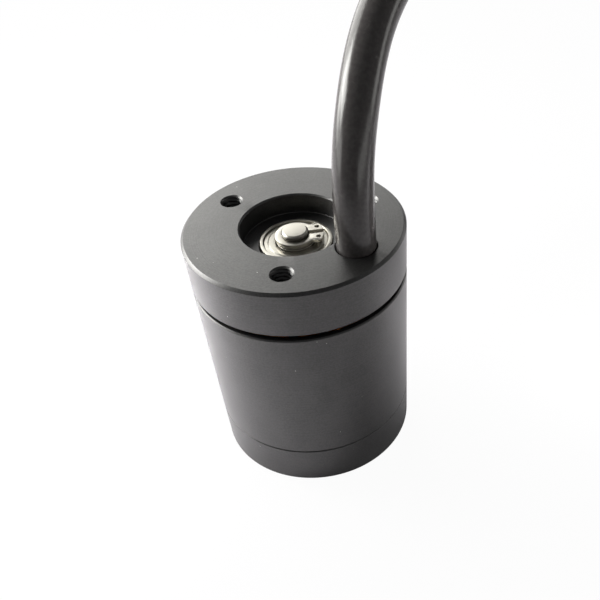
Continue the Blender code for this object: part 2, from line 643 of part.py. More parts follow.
def bell(parent):
    """The can, the end cap with its hub, and the steel flux ring inside the can."""
    can = turned("bell_can", [
        (CAN_INNER_RADIUS, BELL_TOP - FINE_CHAMFER),
        (CAN_INNER_RADIUS + FINE_CHAMFER, BELL_TOP),
        (MOTOR_RADIUS - FINE_CHAMFER, BELL_TOP),
        (MOTOR_RADIUS, BELL_TOP - FINE_CHAMFER),
        (MOTOR_RADIUS, CAN_BOTTOM),
        (CAN_INNER_RADIUS, CAN_BOTTOM),
    ], CASE_SIDES)
    place("bell_can", can, "black_anodised", parent=parent)
    bore = SHAFT_RADIUS + SHAFT_FIT
    spigot_outer = CAN_INNER_RADIUS - FIT_GAP
    spigot_inner = spigot_outer - SPIGOT_WALL
    cap = place("bell_end_cap", turned("bell_end_cap", [
        (bore + FINE_CHAMFER, 0.0),
        (bore, FINE_CHAMFER),
        (bore, HUB_TOP),
        (HUB_RADIUS - FINE_CHAMFER, HUB_TOP),
        (HUB_RADIUS, HUB_TOP - FINE_CHAMFER),
        (HUB_RADIUS, CAP_PLATE),
        (spigot_inner - EDGE_CHAMFER, CAP_PLATE),
        (spigot_inner, CAP_PLATE + EDGE_CHAMFER),
        (spigot_inner, SPIGOT_TOP),
        (spigot_outer, SPIGOT_TOP),
        (spigot_outer, CAP_HEIGHT),
        (MOTOR_RADIUS, CAP_HEIGHT),
        (MOTOR_RADIUS, EDGE_CHAMFER),
        (MOTOR_RADIUS - EDGE_CHAMFER, 0.0),
    ], CASE_SIDES), "black_anodised", parent=parent)
    drill = extruded("prop_hole", circle(PROP_HOLE_RADIUS, HOLE_SIDES), -CUT_OVER, CAP_PLATE + CUT_OVER)
    for number in range(PROP_HOLE_COUNT):
        hole = cutter(f"prop_hole_{number + 1}", drill)
        hole.location = polar(PROP_HOLE_CIRCLE, PROP_HOLE_START + number * 360 / PROP_HOLE_COUNT)
        combine(cap, hole, "DIFFERENCE")
    flux = turned("flux_ring", [
        (FLUX_INNER_RADIUS, BELL_TOP - FLUX_INSET),
        (FLUX_OUTER_RADIUS, BELL_TOP - FLUX_INSET),
        (FLUX_OUTER_RADIUS, SPIGOT_TOP + FIT_GAP),
        (FLUX_INNER_RADIUS, SPIGOT_TOP + FIT_GAP),
    ], CASE_SIDES)
    place("flux_ring", flux, "zinc_steel", parent=parent)


def magnets(parent):
    """Arc magnets round the inside of the flux ring, level with the core."""
    half = MAGNET_ARC / 2
    outline = arc(MAGNET_OUTER_RADIUS, -half, half, 4) + arc(MAGNET_INNER_RADIUS, half, -half, 4)
    mesh = extruded("magnet", outline, CORE_MIDDLE - MAGNET_LENGTH / 2, CORE_MIDDLE + MAGNET_LENGTH / 2)
    for number in range(MAGNET_COUNT):
        place(f"magnet_{number + 1:02d}", mesh.copy(), "magnet_nickel",
              turn=number * 360 / MAGNET_COUNT, parent=parent)


def shaft_set(parent):
    """The shaft, and the shim and clip that hold it behind the rear bearing."""
    groove = SHAFT_RADIUS - CLIP_GROOVE_DEPTH
    groove_low, groove_high = CLIP_BOTTOM - FIT_GAP, CLIP_BOTTOM + CLIP_THICKNESS + FIT_GAP
    profile = [
        (0.0, SHAFT_TOP),
        (SHAFT_RADIUS - SHAFT_TIP_CHAMFER, SHAFT_TOP),
        (SHAFT_RADIUS, SHAFT_TOP - SHAFT_TIP_CHAMFER),
        (SHAFT_RADIUS, groove_high),
        (groove, groove_high),
        (groove, groove_low),
        (SHAFT_RADIUS, groove_low),
        (SHAFT_RADIUS, SHAFT_INSET + FINE_CHAMFER),
        (SHAFT_RADIUS - FINE_CHAMFER, SHAFT_INSET),
        (0.0, SHAFT_INSET),
    ]
    place("motor_shaft", spindle("motor_shaft", profile, SHAFT_SIDES), "bright_steel", parent=parent)
    shim = turned("clip_shim", [
        (BEARING_BORE_RADIUS, SHIM_BOTTOM + SHIM_THICKNESS),
        (SHIM_RADIUS, SHIM_BOTTOM + SHIM_THICKNESS),
        (SHIM_RADIUS, SHIM_BOTTOM),
        (BEARING_BORE_RADIUS, SHIM_BOTTOM),
    ], RACE_SIDES)
    place("clip_shim", shim, "bright_steel", parent=parent)
    clip = place("retaining_clip", extruded("retaining_clip", clip_outline(groove + SHAFT_FIT),
                 CLIP_BOTTOM, CLIP_BOTTOM + CLIP_THICKNESS), "bright_steel", parent=parent)
    eye = circle(CLIP_EYE_RADIUS, CLIP_EYE_SIDES)
    for side, angle in (("left", CLIP_EYE_ANGLE), ("right", -CLIP_EYE_ANGLE)):
        punch = extruded(f"clip_eye_{side}", eye, CLIP_BOTTOM - CUT_OVER, CLIP_BOTTOM + CUT_OVER)
        hole = cutter(f"clip_eye_{side}", punch)
        hole.location = polar(CLIP_EYE_CIRCLE, angle)
        combine(clip, hole, "DIFFERENCE")


def clip_outline(inner):
    """A ring that is open at +X, where its two ends widen into lugs.

    The outer edge's radius falls from the lugs' to the body's by a smooth step in angle.
    """
    first = math.degrees(math.asin(CLIP_GAP / CLIP_LUG_RADIUS))
    last = math.degrees(math.asin(CLIP_GAP / inner))
    shoulder = CLIP_LUG_ANGLE + CLIP_LUG_FALL
    angles = np.concatenate([
        np.linspace(first, CLIP_LUG_ANGLE, 5),
        np.linspace(shoulder - CLIP_LUG_FALL / 2, shoulder, 2),
        np.linspace(shoulder, 180.0, 9)[1:],
    ])
    angles = np.concatenate([angles, (360.0 - angles)[::-1][1:]])
    away = np.minimum(angles, 360.0 - angles)
    share = np.clip((away - CLIP_LUG_ANGLE) / CLIP_LUG_FALL, 0.0, 1.0)
    share = share * share * (3 - 2 * share)
    radii = CLIP_LUG_RADIUS + (CLIP_BODY_RADIUS - CLIP_LUG_RADIUS) * share
    outer = [polar(r, a)[:2] for r, a in zip(radii, angles)]
    return outer + arc(inner, 360 - last, last, 20)


# --- the cable's coil and end ------------------------------------------------------------------


def coil_laps():
    """Points down the coil's laps, a pitch lower in each turn, from its start to its tail."""
    turn = COIL_END_ANGLE + 360 * COIL_LAPS - COIL_START_ANGLE
    passed = np.linspace(0, turn, round(turn / COIL_STEP) + 1)
    return [(
        COIL_CENTRE[0] + COIL_RADIUS * math.cos(math.radians(COIL_START_ANGLE + angle)),
        COIL_CENTRE[1] + COIL_RADIUS * math.sin(math.radians(COIL_START_ANGLE + angle)),
        TAIL_LEVEL + TAIL_FALL + COIL_PITCH * (turn - angle) / 360,
    ) for angle in passed]


def cable_tail():
    """Points on the tail's smaller circle, which leaves the laps from inside, and its heading."""
    offset_x, offset_y, _ = polar(COIL_RADIUS - TAIL_BEND_RADIUS, COIL_END_ANGLE)
    points = []
    for angle in np.linspace(0, TAIL_TURN, round(TAIL_TURN / TAIL_STEP) + 1)[1:]:
        x, y, _ = polar(TAIL_BEND_RADIUS, COIL_END_ANGLE + angle)
        fall = (1 - min(1, angle / TAIL_FALL_TURN)) ** 2
        points.append((COIL_CENTRE[0] + offset_x + x, COIL_CENTRE[1] + offset_y + y,
                       TAIL_LEVEL + TAIL_FALL * fall))
    return points, COIL_END_ANGLE + TAIL_TURN + 90


def shortened(points, start, end):
    """The same line with its first and last points drawn in by those lengths."""
    points = np.array(points)
    for tip, neighbour, length in ((0, 1, start), (-1, -2, end)):
        along = points[neighbour] - points[tip]
        points[tip] += along / np.linalg.norm(along) * length
    return points


def tie_frame(spread):
    """The strap's loop round the stacked turns, as (across, height), grown by spread."""
    half = CABLE_RADIUS + spread
    passed = TIE_ANGLE - COIL_START_ANGLE
    turn = COIL_END_ANGLE + 360 * COIL_LAPS - COIL_START_ANGLE
    high = TAIL_LEVEL + TAIL_FALL + COIL_PITCH * (turn - passed) / 360 + half
    low = high - 2 * half - COIL_PITCH * COIL_LAPS
    cut = TIE_CORNER
    return [
        (COIL_RADIUS + x, z) for x, z in (
            (-half + cut, low), (half - cut, low), (half, low + cut), (half, high - cut),
            (half - cut, high), (-half + cut, high), (-half, high - cut), (-half, low + cut),
        )
    ]


def cable_end():
    """The free stretch, the coil with its tie, and the tail, sleeve, leads and plugs inside it."""
    laps = coil_laps()
    tail, heading = cable_tail()
    along = np.array(polar(1.0, heading))
    route = np.array([*FREE_ROUTE, *laps, *tail, np.array(tail[-1]) + along * SLEEVE_LENGTH / 2])
    curve = smooth_curve(route, CABLE_POINTS_PER_STEP)
    first, second, third = (CABLE_POINTS_PER_STEP * (len(FREE_ROUTE) + extra) for extra in
                            (0, len(laps) - 1, len(laps) + len(tail) - 1))
    stretches = {
        "motor_cable": shortened(curve[:first + 1], 0.0, STRETCH_GAP),
        "cable_coil": curve[first:second + 1],
        "cable_tail": shortened(curve[second:third + 1], STRETCH_GAP, END_GAP),
    }
    for name, points in stretches.items():
        tube(name, points, CABLE_RADIUS, "cable_sheath")
    half = TIE_WIDTH / 2
    inner = [[(r, y, z) for r, z in tie_frame(TIE_GAP)] for y in (-half, half)]
    outer = [[(r, y, z) for r, z in tie_frame(TIE_GAP + TIE_THICKNESS)] for y in (-half, half)]
    place("coil_tie", framed("coil_tie", outer, inner), "tie_plastic",
          turn=TIE_ANGLE, location=(*COIL_CENTRE, 0.0))
    rim, half = SLEEVE_RADIUS - FINE_CHAMFER, SLEEVE_LENGTH / 2
    sleeve = spindle("cable_sleeve", [
        (0.0, half),
        (rim, half),
        (SLEEVE_RADIUS, half - FINE_CHAMFER),
        (SLEEVE_RADIUS, FINE_CHAMFER - half),
        (rim, -half),
        (0.0, -half),
    ], SLEEVE_SIDES)
    start = np.array(tail[-1])
    lying = place("cable_sleeve", sleeve, "shrink_sleeve")
    lying.location = start + along * half
    lying.rotation_euler = (0.0, math.radians(90), math.radians(heading))
    core_leads(start + along * SLEEVE_LENGTH, heading)


def core_leads(mouth, heading):
    """Three leads that turn on arcs about one centre to run along +X, each to its bullet plug."""
    plug = spindle("bullet_plug", [
        (0.0, PLUG_LENGTH),
        (PLUG_TIP_RADIUS, PLUG_LENGTH),
        (PLUG_PIN_RADIUS, PLUG_LENGTH - PLUG_NOSE),
        (PLUG_PIN_RADIUS, PLUG_BARREL + PLUG_NOSE),
        (PLUG_WAIST_RADIUS, PLUG_BARREL),
        (PLUG_RADIUS, PLUG_BARREL),
        (PLUG_RADIUS, FINE_CHAMFER),
        (PLUG_RADIUS - FINE_CHAMFER, 0.0),
        (0.0, 0.0),
    ], PLUG_SIDES)
    centre = mouth + np.array(polar(LEAD_BEND_RADIUS + LEAD_SPACING, heading + 90))
    middle_row = centre[1] - LEAD_BEND_RADIUS - LEAD_SPACING
    for number in range(3):
        radius = LEAD_BEND_RADIUS + LEAD_SPACING * number
        lead_in = math.degrees(END_GAP / radius)
        angles = np.linspace(heading % 360 - 90 + lead_in, 270, 6)
        route = [(centre[0] + x, centre[1] + y, LEAD_LEVEL)
                 for x, y, _ in (polar(radius, angle) for angle in angles)]
        route[0] = (*route[0][:2], LEAD_MOUTH_LEVEL)
        row = middle_row + (1 - number) * PLUG_PITCH
        start = COIL_CENTRE[0] - PLUG_SETBACK
        lying = place(f"bullet_plug_{number + 1}", plug.copy(), "gold_plating",
                      location=(start, row, PLUG_RADIUS))
        lying.rotation_euler = (0.0, math.radians(90), 0.0)
        end = (start - END_GAP, row, PLUG_RADIUS)
        before = (end[0] - PLUG_LEAD_IN, row, PLUG_RADIUS)
        tube(f"core_lead_{number + 1}", smooth_curve([*route, before, end], 2), CORE_RADIUS,
             "lead_insulation")


def build():
    for obj in list(bpy.data.objects):
        bpy.data.objects.remove(obj, do_unlink=True)
    rotor = bpy.data.objects.new("rotor_axis", None)
    bpy.context.scene.collection.objects.link(rotor)
    base_housing()
    stator_core()
    end_insulator("insulator_upper", CORE_TOP + FIT_GAP, NECK_RADIUS + FIT_GAP)
    end_insulator("insulator_lower", CORE_BOTTOM - FIT_GAP - INSULATOR_THICKNESS, CORE_BORE_RADIUS)
    cable_entry(windings())
    outer, inner, lid = race_meshes()
    for name, middle, flip in (("rear", REAR_BEARING_MIDDLE, 1), ("front", FRONT_BEARING_MIDDLE, -1)):
        level = (0.0, 0.0, middle)
        place(f"{name}_outer_race", outer.copy(), "bright_steel", location=level)
        shield = place(f"{name}_shield", lid.copy(), "bright_steel", location=level)
        if flip < 0:
            shield.rotation_euler = (TURN / 2, 0.0, 0.0)
        place(f"{name}_inner_race", inner.copy(), "bright_steel", parent=rotor, location=level)
        ball_cage(f"{name}_ball_cage", middle, None)
    bell(rotor)
    magnets(rotor)
    shaft_set(rotor)
    cable_end()


build()
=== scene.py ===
"""Small waterproof outrunner motor with its cable: the turned, wound and finished pieces."""

from functools import cached_property
from math import cos, pi, radians, sin, tan

import bmesh
import bpy
import numpy as np
from bpy.props import FloatProperty, FloatVectorProperty, IntProperty, PointerProperty
from mathutils import Matrix, Vector


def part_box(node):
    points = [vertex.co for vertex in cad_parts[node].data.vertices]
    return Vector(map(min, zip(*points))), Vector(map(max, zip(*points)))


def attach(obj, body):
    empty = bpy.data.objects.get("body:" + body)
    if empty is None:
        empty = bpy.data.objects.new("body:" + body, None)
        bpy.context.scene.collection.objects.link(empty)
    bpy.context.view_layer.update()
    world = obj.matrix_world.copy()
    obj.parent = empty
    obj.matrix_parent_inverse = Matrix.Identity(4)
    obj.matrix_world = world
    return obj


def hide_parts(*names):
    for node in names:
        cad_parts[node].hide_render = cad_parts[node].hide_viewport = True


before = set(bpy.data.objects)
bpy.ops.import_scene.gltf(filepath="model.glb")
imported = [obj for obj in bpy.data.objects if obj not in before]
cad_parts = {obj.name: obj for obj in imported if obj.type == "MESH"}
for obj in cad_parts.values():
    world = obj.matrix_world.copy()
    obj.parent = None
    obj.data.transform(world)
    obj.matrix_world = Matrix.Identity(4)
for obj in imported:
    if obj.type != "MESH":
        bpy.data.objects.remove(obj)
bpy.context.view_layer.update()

bl_info = {
    "name": "Outrunner Motor",
    "version": (1, 0, 0),
    "blender": (4, 5, 0),
    "location": "3D View > Sidebar > Motor",
    "description": "Turned, wound and finished pieces of a small waterproof outrunner motor",
    "category": "Object",
}

MM = 0.001
TURN = 2 * pi
X, Y, Z = range(3)

# The gap between two pieces that fit, and the rounding of the edges in such a fit
FIT = 0.05 * MM
TIGHT = 0.02 * MM

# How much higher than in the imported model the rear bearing's face and all above it are shown
LIFT = 0.2 * MM


def span(node, axis=Z, lift=0.0):
    """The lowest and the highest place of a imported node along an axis, lifted by that much."""
    return [corner[axis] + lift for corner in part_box(node)]


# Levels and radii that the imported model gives
CASE_RADIUS = span("bell_end_cap", X)[1]
BASE_LOW, BASE_TOP = span("base_housing")
CAN_LOW, CAN_TOP = span("bell_can")
CAP_TOP = CAN_LOW - FIT
SHAFT_RADIUS = span("motor_shaft", X)[1]
SHAFT_LOW, SHAFT_TOP = span("motor_shaft")[0], span("motor_shaft", lift=LIFT)[1]
SHIM_LOW, SHIM_TOP = span("clip_shim", lift=LIFT)
CLIP_LOW, CLIP_TOP = span("retaining_clip", lift=LIFT)
REAR_LOW, REAR_TOP = span("rear_outer_race")
FRONT_LOW, FRONT_TOP = span("front_outer_race")
SEAL_LOW, SEAL_TOP = span("cable_seal")
CABLE_X, CABLE_Y = (sum(span("cable_seal", axis)) / 2 for axis in (X, Y))

# Coil of the cable, beside the motor: angles are in degrees from +X, the end's counted on
# through its laps, and the last curve inside it ends in the sleeve
COIL_CENTRE = np.array([69.5, 6.0, 0.0]) * MM
COIL_RADIUS = 21.5 * MM
COIL_PITCH = 4.17 * MM
COIL_START, COIL_END = 268.0, 315.0 + 720.0
COIL_TURN = COIL_END - COIL_START
TIE_ANGLE = 300.0
TAIL_RADIUS = 16.9 * MM
TAIL_TURN = 180.0
SLEEVE_LENGTH = 8.0 * MM

# Level of the cable's middle in the sleeve, and how much higher the laps end
COIL_LOW = 2.5 * MM
COIL_FALL = 0.7 * MM

# The cable's free stretch in millimetres: straight up, over in an arch and down on the coil
FREE_ROUTE = (
    (6.0, -5.1, 33.4), (6.3, -3.9, 37.7), (7.3, -1.5, 42.1), (9.0, 2.2, 46.0),
    (11.9, 6.4, 49.6), (16.3, 9.4, 53.0), (21.9, 11.3, 55.2), (28.4, 11.7, 55.8),
    (35.8, 10.9, 53.6), (41.5, 9.2, 48.5), (44.8, 6.4, 41.5), (46.7, 1.9, 33.7),
    (48.9, -2.0, 26.0), (51.1, -7.3, 19.6), (55.6, -11.3, 15.0), (60.6, -13.5, 12.8),
)

# Middle of the lamps' ring, and their distance from it
LAMP_MIDDLE = Vector((0.0, 0.0, 0.02))
LAMP_REACH = 0.6

# Lamps round the motor: turn from +X, rise, width and height in degrees, and level
SOFTBOXES = (
    ("main softbox", 126.0, 24.0, 48.0, 44.0, 3.6),
    ("back softbox", 88.0, 18.0, 28.0, 34.0, 2.6),
    ("left softbox", 176.0, 10.0, 36.0, 20.0, 3.0),
    ("low spot", 148.0, 13.0, 22.0, 22.0, 6.5),
    ("high spot", 158.0, 28.0, 30.0, 20.0, 13.0),
    ("right strip", 12.0, 8.0, 52.0, 15.0, 2.0),
    ("front strip", 315.0, 8.0, 52.0, 15.0, 1.4),
)

# Lamps that face down on the floor, and do not show in gloss: place, side and level
FLOOR_LAMPS = (
    ("back floor lamp", (-0.02, 0.068, 0.085), 0.075, 9.0),
    ("left floor lamp", (-0.043, 0.014, 0.036), 0.02, 42.0),
    ("right floor lamp", (0.041, -0.002, 0.013), 0.008, 18.0),
    ("far right floor lamp", (0.142, -0.012, 0.055), 0.06, 15.0),
    ("far left floor lamp", (-0.135, 0.066, 0.055), 0.06, 9.0),
)


# --- properties ---


def length(name, description, default):
    """A length property with a default in millimetres."""
    return FloatProperty(name=name, description=description, default=default * MM,
                         min=0.0, unit="LENGTH", precision=5)


def tint(name, description, default):
    """A colour property."""
    return FloatVectorProperty(name=name, description=description, default=default,
                               size=3, min=0.0, max=1.0, subtype="COLOR")


def factor(name, description, default, highest=1.0):
    """A plain number from nothing up to its highest value."""
    return FloatProperty(name=name, description=description, default=default,
                         min=0.0, max=highest)


class MotorSizes(bpy.types.PropertyGroup):
    edge_chamfer: length("Edge chamfer", "Chamfer of the case's outer edges", 0.3)
    fine_chamfer: length("Fine chamfer", "Chamfer of the inner edges", 0.15)
    edge_round: length("Edge round", "Rounding left on a turned edge", 0.035)
    recess_radius: length("Recess radius", "Radius of the recess in the base", 5.8)
    recess_depth: length("Recess depth", "Depth of the recess in the base", 2.35)
    seat_radius: length("Seat radius", "Radius of a bearing's seat", 4.05)
    tube_radius: length("Tube radius", "Outer radius of the bearing tube", 4.9)
    neck_radius: length("Neck radius", "Radius of the neck above the core", 5.6)
    neck_length: length("Neck length", "Length of the neck below the base", 4.7)
    mount_circle: length("Mount circle", "Radius of the circle of the mounting holes", 8.75)
    mount_radius: length("Mount hole", "Inner radius of a mounting hole's thread", 1.03)
    mount_depth: length("Mount depth", "Depth of a mounting hole", 4.2)
    mount_pitch: length("Mount pitch", "Pitch of a mounting hole's thread", 0.45)
    prop_circle: length("Front circle", "Radius of the circle of the front holes", 6.0)
    prop_radius: length("Front hole", "Inner radius of a front hole's thread", 0.8)
    prop_pitch: length("Front pitch", "Pitch of a front hole's thread", 0.4)
    sink: length("Countersink", "Depth of a mounting hole's countersink", 0.24)
    can_bore: length("Can bore", "Inner radius of the bell's can", 11.2)
    cap_plate: length("Cap plate", "Thickness of the end cap's plate", 2.4)
    hub_radius: length("Hub radius", "Radius of the end cap's hub", 3.2)
    hub_top: length("Hub top", "Level of the hub's top", 4.4)
    spigot_top: length("Spigot top", "Level of the spigot's top", 7.0)
    cable_diameter: length("Cable", "Outer diameter of the cable", 4.1)
    cable_hole: length("Cable hole", "Radius of the cable's hole", 2.15)
    core_diameter: length("Core", "Diameter of one insulated core lead", 1.5)
    wire_diameter: length("Wire", "Diameter of the enamelled winding wire", 0.3)
    wire_turns: IntProperty(name="Wire turns", description="Turns in one layer of a winding",
                            default=6, min=2)


class MotorFinishes(bpy.types.PropertyGroup):
    anodised: tint("Anodised", "Colour of the anodised case", (0.102, 0.101, 0.101))
    anodised_roughness: factor("Anodised roughness", "Roughness of the anodised case", 0.38)
    steel: tint("Steel", "Colour of the bearing, clip and shaft", (0.54, 0.52, 0.468))
    steel_roughness: factor("Steel roughness", "Roughness of the bright steel", 0.32)
    sheath: tint("Sheath", "Colour of the cable's sheath", (0.052, 0.048, 0.0475))
    sheath_roughness: factor("Sheath roughness", "Roughness of the cable's sheath", 0.2)
    sleeve: tint("Sleeve", "Colour of the shrunk sleeve", (0.03, 0.03, 0.031))
    lead: tint("Lead", "Colour of the core leads", (0.028, 0.028, 0.03))
    plating: tint("Plating", "Colour of the plugs' plating", (0.90, 0.66, 0.28))
    copper: tint("Copper", "Colour of the enamelled wire", (0.70, 0.26, 0.09))
    lamination: tint("Lamination", "Colour of the core's sheets", (0.32, 0.33, 0.35))
    nickel: tint("Nickel", "Colour of the magnets' plating", (0.60, 0.59, 0.55))
    zinc: tint("Zinc", "Colour of the flux ring", (0.46, 0.46, 0.47))
    insulator: tint("Insulator", "Colour of the end insulators", (0.05, 0.20, 0.11))
    resin: tint("Resin", "Colour of the seal under the cable", (0.028, 0.027, 0.027))
    tie: tint("Tie", "Colour of the coil's tie", (0.03, 0.03, 0.03))
    dust: tint("Dust", "Colour of the specks of dust on the case", (0.55, 0.54, 0.52))


class MotorStage(bpy.types.PropertyGroup):
    lens: FloatProperty(name="Lens", description="Focal length of the camera", default=41.31,
                        min=1.0, unit="CAMERA")
    shift: FloatVectorProperty(name="Shift", description="Shift of the camera's frame",
                               default=(-0.1041, 0.1106), size=2)
    place: FloatVectorProperty(name="Place", description="Where the camera stands", size=3,
                               default=(0.0, -62.978 * MM, 70.374 * MM), subtype="TRANSLATION",
                               precision=5)
    turn: FloatVectorProperty(name="Turn", description="How the camera is turned", size=3,
                              default=[radians(a) for a in (44.74293, 2.59194, -8.37577)],
                              subtype="EULER")
    world: factor("World", "Level of the even light all round", 0.07, 4.0)
    lamps: factor("Lamps", "Level of the soft lamps", 1.0, 4.0)


# --- surfaces ---


def surface(points, wrap_rows=False, wrap_columns=True):
    """Corners and quads of a grid of points; either way of the grid may close on itself.

    The quad at (row, column) joins it to the next row and the next column, counted round
    where that way is closed.
    """
    rows, columns = points.shape[:2]
    row = np.arange(rows if wrap_rows else rows - 1)[:, None]
    column = np.arange(columns if wrap_columns else columns - 1)[None, :]
    below, beside = (row + 1) % rows * columns, (column + 1) % columns
    quads = np.broadcast_arrays(row * columns + column, row * columns + beside,
                                below + beside, below + column)
    return points.reshape(-1, 3), np.stack(quads, -1).reshape(-1, 4)


def polar(radius, angle, height, centre=(0.0, 0.0)):
    """Points at that radius, angle and height about a centre, on the grid that they span."""
    return np.stack(np.broadcast_arrays(centre[X] + radius * np.cos(angle),
                                        centre[Y] + radius * np.sin(angle), height), -1)


def even_turn(sides):
    """That many angles, spread evenly over a full turn."""
    return np.arange(sides) * TURN / sides


def ring(radius, sides):
    """The corners of a circle, as a section."""
    return polar(radius, even_turn(sides), 0.0)[:, :2]


def eased(value, low, high):
    """0 below low, 1 above high and the smooth rise 3 s^2 - 2 s^3 between them."""
    share = np.clip((value - low) / (high - low), 0, 1)
    return share * share * (3 - 2 * share)


def millimetres(values):
    """The same values, given in millimetres."""
    return np.array(values, float) * MM


def rectangle(low, high, fillet):
    """A rectangle between two corners (across, up), as corners with that fillet."""
    (left, bottom), (right, top) = low, high
    return [(left, bottom, fillet), (right, bottom, fillet), (right, top, fillet),
            (left, top, fillet)]


def rounded(corners, steps=4):
    """The closed outline through corners (across, up, fillet), each fillet an arc of that radius.

    An arc starts and ends at fillet / tan(half) along the two sides, and turns about the point
    at fillet / sin(half) on the corner's bisector, where half is half the angle between the
    sides. Its points swing evenly from the first end to the second.
    """
    corners = np.array(corners, float)
    point, fillet = corners[:, :2], corners[:, 2:]
    before = np.roll(point, 1, 0) - point
    after = np.roll(point, -1, 0) - point
    before /= np.linalg.norm(before, axis=1, keepdims=True)
    after /= np.linalg.norm(after, axis=1, keepdims=True)
    half = np.arccos(np.clip((before * after).sum(1, keepdims=True), -1, 1)) / 2
    half = np.clip(half, 1e-3, pi / 2 - 1e-3)
    bisector = before + after
    bisector /= np.maximum(np.linalg.norm(bisector, axis=1, keepdims=True), 1e-9)
    centre = point + bisector * fillet / np.sin(half)
    start = point + before * fillet / np.tan(half) - centre
    end = point + after * fillet / np.tan(half) - centre
    swing = (pi - 2 * half)[:, None]
    t = np.linspace(0, 1, steps + 1)[None, :, None]
    arc = np.sin((1 - t) * swing) * start[:, None] + np.sin(t * swing) * end[:, None]
    return (centre[:, None] + arc / np.sin(swing)).reshape(-1, 2)


def lathe(profile, sides):
    """A profile of (radius, height) carried round the Z axis.

    Point (i, j) is (r_i cos a_j, r_i sin a_j, z_i), with a_j from 0 to a full turn. A profile
    that starts on the axis ends on it too, and any other closes on itself.
    """
    radius, height = np.array(profile, float).T[..., None]
    return surface(polar(radius, even_turn(sides), height), wrap_rows=radius[0, 0] > 0)


def capped(points, first, last):
    """The grid with a row before it and one after it that are each one point: its closed ends."""
    first, last = (np.broadcast_to(end, points[:1].shape) for end in (first, last))
    return np.concatenate([first, points, last])


def moved(part, offset=(0.0, 0.0, 0.0), turn=0.0, axis="Z"):
    """A surface turned round an axis through the origin and then moved."""
    points, quads = part
    return points @ np.array(Matrix.Rotation(turn, 3, axis)).T + np.array(offset), quads


def joined(*parts):
    """Several surfaces as one."""
    points, quads = zip(*parts)
    starts = np.cumsum([0, *map(len, points)])
    return np.vstack(points), np.vstack([q + start for q, start in zip(quads, starts)])


def smooth_curve(points, per_stretch):
    """Points along the natural cubic spline through the given points.

    The spline's second derivatives solve a tridiagonal system, with none at the two ends.
    """
    points = np.array(points, float)
    gaps = np.linalg.norm(np.diff(points, axis=0), axis=1)
    count = len(points)
    inner = np.arange(1, count - 1)
    system, right = np.eye(count), np.zeros((count, 3))
    system[inner, inner - 1] = gaps[:-1]
    system[inner, inner] = 2 * (gaps[:-1] + gaps[1:])
    system[inner, inner + 1] = gaps[1:]
    slopes = np.diff(points, axis=0) / gaps[:, None]
    right[inner] = 6 * np.diff(slopes, axis=0)
    bend = np.linalg.solve(system, right)
    t = (np.arange(per_stretch) / per_stretch)[None, :, None]
    start, end = points[:-1, None], points[1:, None]
    span_square = gaps[:, None, None] ** 2 / 6
    pull = bend[:-1, None] * t * (1 - t) * (2 - t) + bend[1:, None] * t * (1 - t) * (1 + t)
    curve = start * (1 - t) + end * t - span_square * pull
    return np.vstack([curve.reshape(-1, 3), points[-1:]])


def frames(path):
    """Two unit vectors across the path at each of its points, which turn as little as they can.

    Each pair is the last one, with its part along the new direction taken out.
    """
    along = np.gradient(path, axis=0)
    along /= np.linalg.norm(along, axis=1, keepdims=True)
    side = np.empty_like(path)
    last = np.cross(along[0], (0.0, 0.0, 1.0) if abs(along[0, Z]) < 0.9 else (1.0, 0.0, 0.0))
    for i, direction in enumerate(along):
        last = last - direction * (last @ direction)
        last /= np.linalg.norm(last)
        side[i] = last
    return side, np.cross(along, side)


def sweep(path, section):
    """A closed section of (across, up) points carried along a path.

    Point (i, j) is path_i + across_j side_i + up_j over_i. A section may differ at each point
    of the path. At each end the section shrinks to a point, which closes the solid.
    """
    side, over = frames(path)
    points = path[:, None] + section[..., :1] * side[:, None] + section[..., 1:] * over[:, None]
    return surface(capped(points, path[0], path[-1]))


# --- meshes ---


def raw_mesh(part):
    """A surface as a mesh."""
    points, quads = part
    mesh = bpy.data.meshes.new("piece")
    mesh.from_pydata(points.tolist(), [], quads.tolist())
    return mesh


def tidied(mesh):
    """Doubles merged, faces outward, shading smooth where faces meet at less than 35 degrees."""
    bm = bmesh.new()
    bm.from_mesh(mesh)
    bmesh.ops.remove_doubles(bm, verts=bm.verts, dist=1e-7)
    bmesh.ops.dissolve_degenerate(bm, dist=1e-8, edges=bm.edges)
    bmesh.ops.recalc_face_normals(bm, faces=bm.faces)
    bm.to_mesh(mesh)
    bm.free()
    mesh.shade_smooth()
    mesh.set_sharp_from_angle(angle=radians(35))
    return mesh


def mesh_of(*parts):
    """One closed, smooth-shaded mesh from several surfaces, its seams merged."""
    return tidied(raw_mesh(joined(*parts)))


def swept_mesh(path, section, girth):
    """A closed tube with a map of its skin: how far along the path, and how far round, in metres.

    Each corner finds its place in the map from its number in the grid, so the map comes before
    doubles are merged.
    """
    mesh = raw_mesh(sweep(path, section))
    steps = np.linalg.norm(np.diff(path, axis=0), axis=1)
    run = np.concatenate([[0.0], np.cumsum(steps)])
    run = np.concatenate([run[:1], run, run[-1:]])
    columns = section.shape[-2]
    index = np.empty(len(mesh.loops), int)
    mesh.loops.foreach_get("vertex_index", index)
    uv = np.stack([run[index // columns], index % columns / columns * girth], -1)
    mesh.uv_layers.new(name="along").data.foreach_set("uv", uv.ravel())
    return tidied(mesh)


def linked(name, mesh):
    """The mesh as an object in the scene."""
    piece = bpy.data.objects.new(name, mesh)
    bpy.context.scene.collection.objects.link(piece)
    return piece


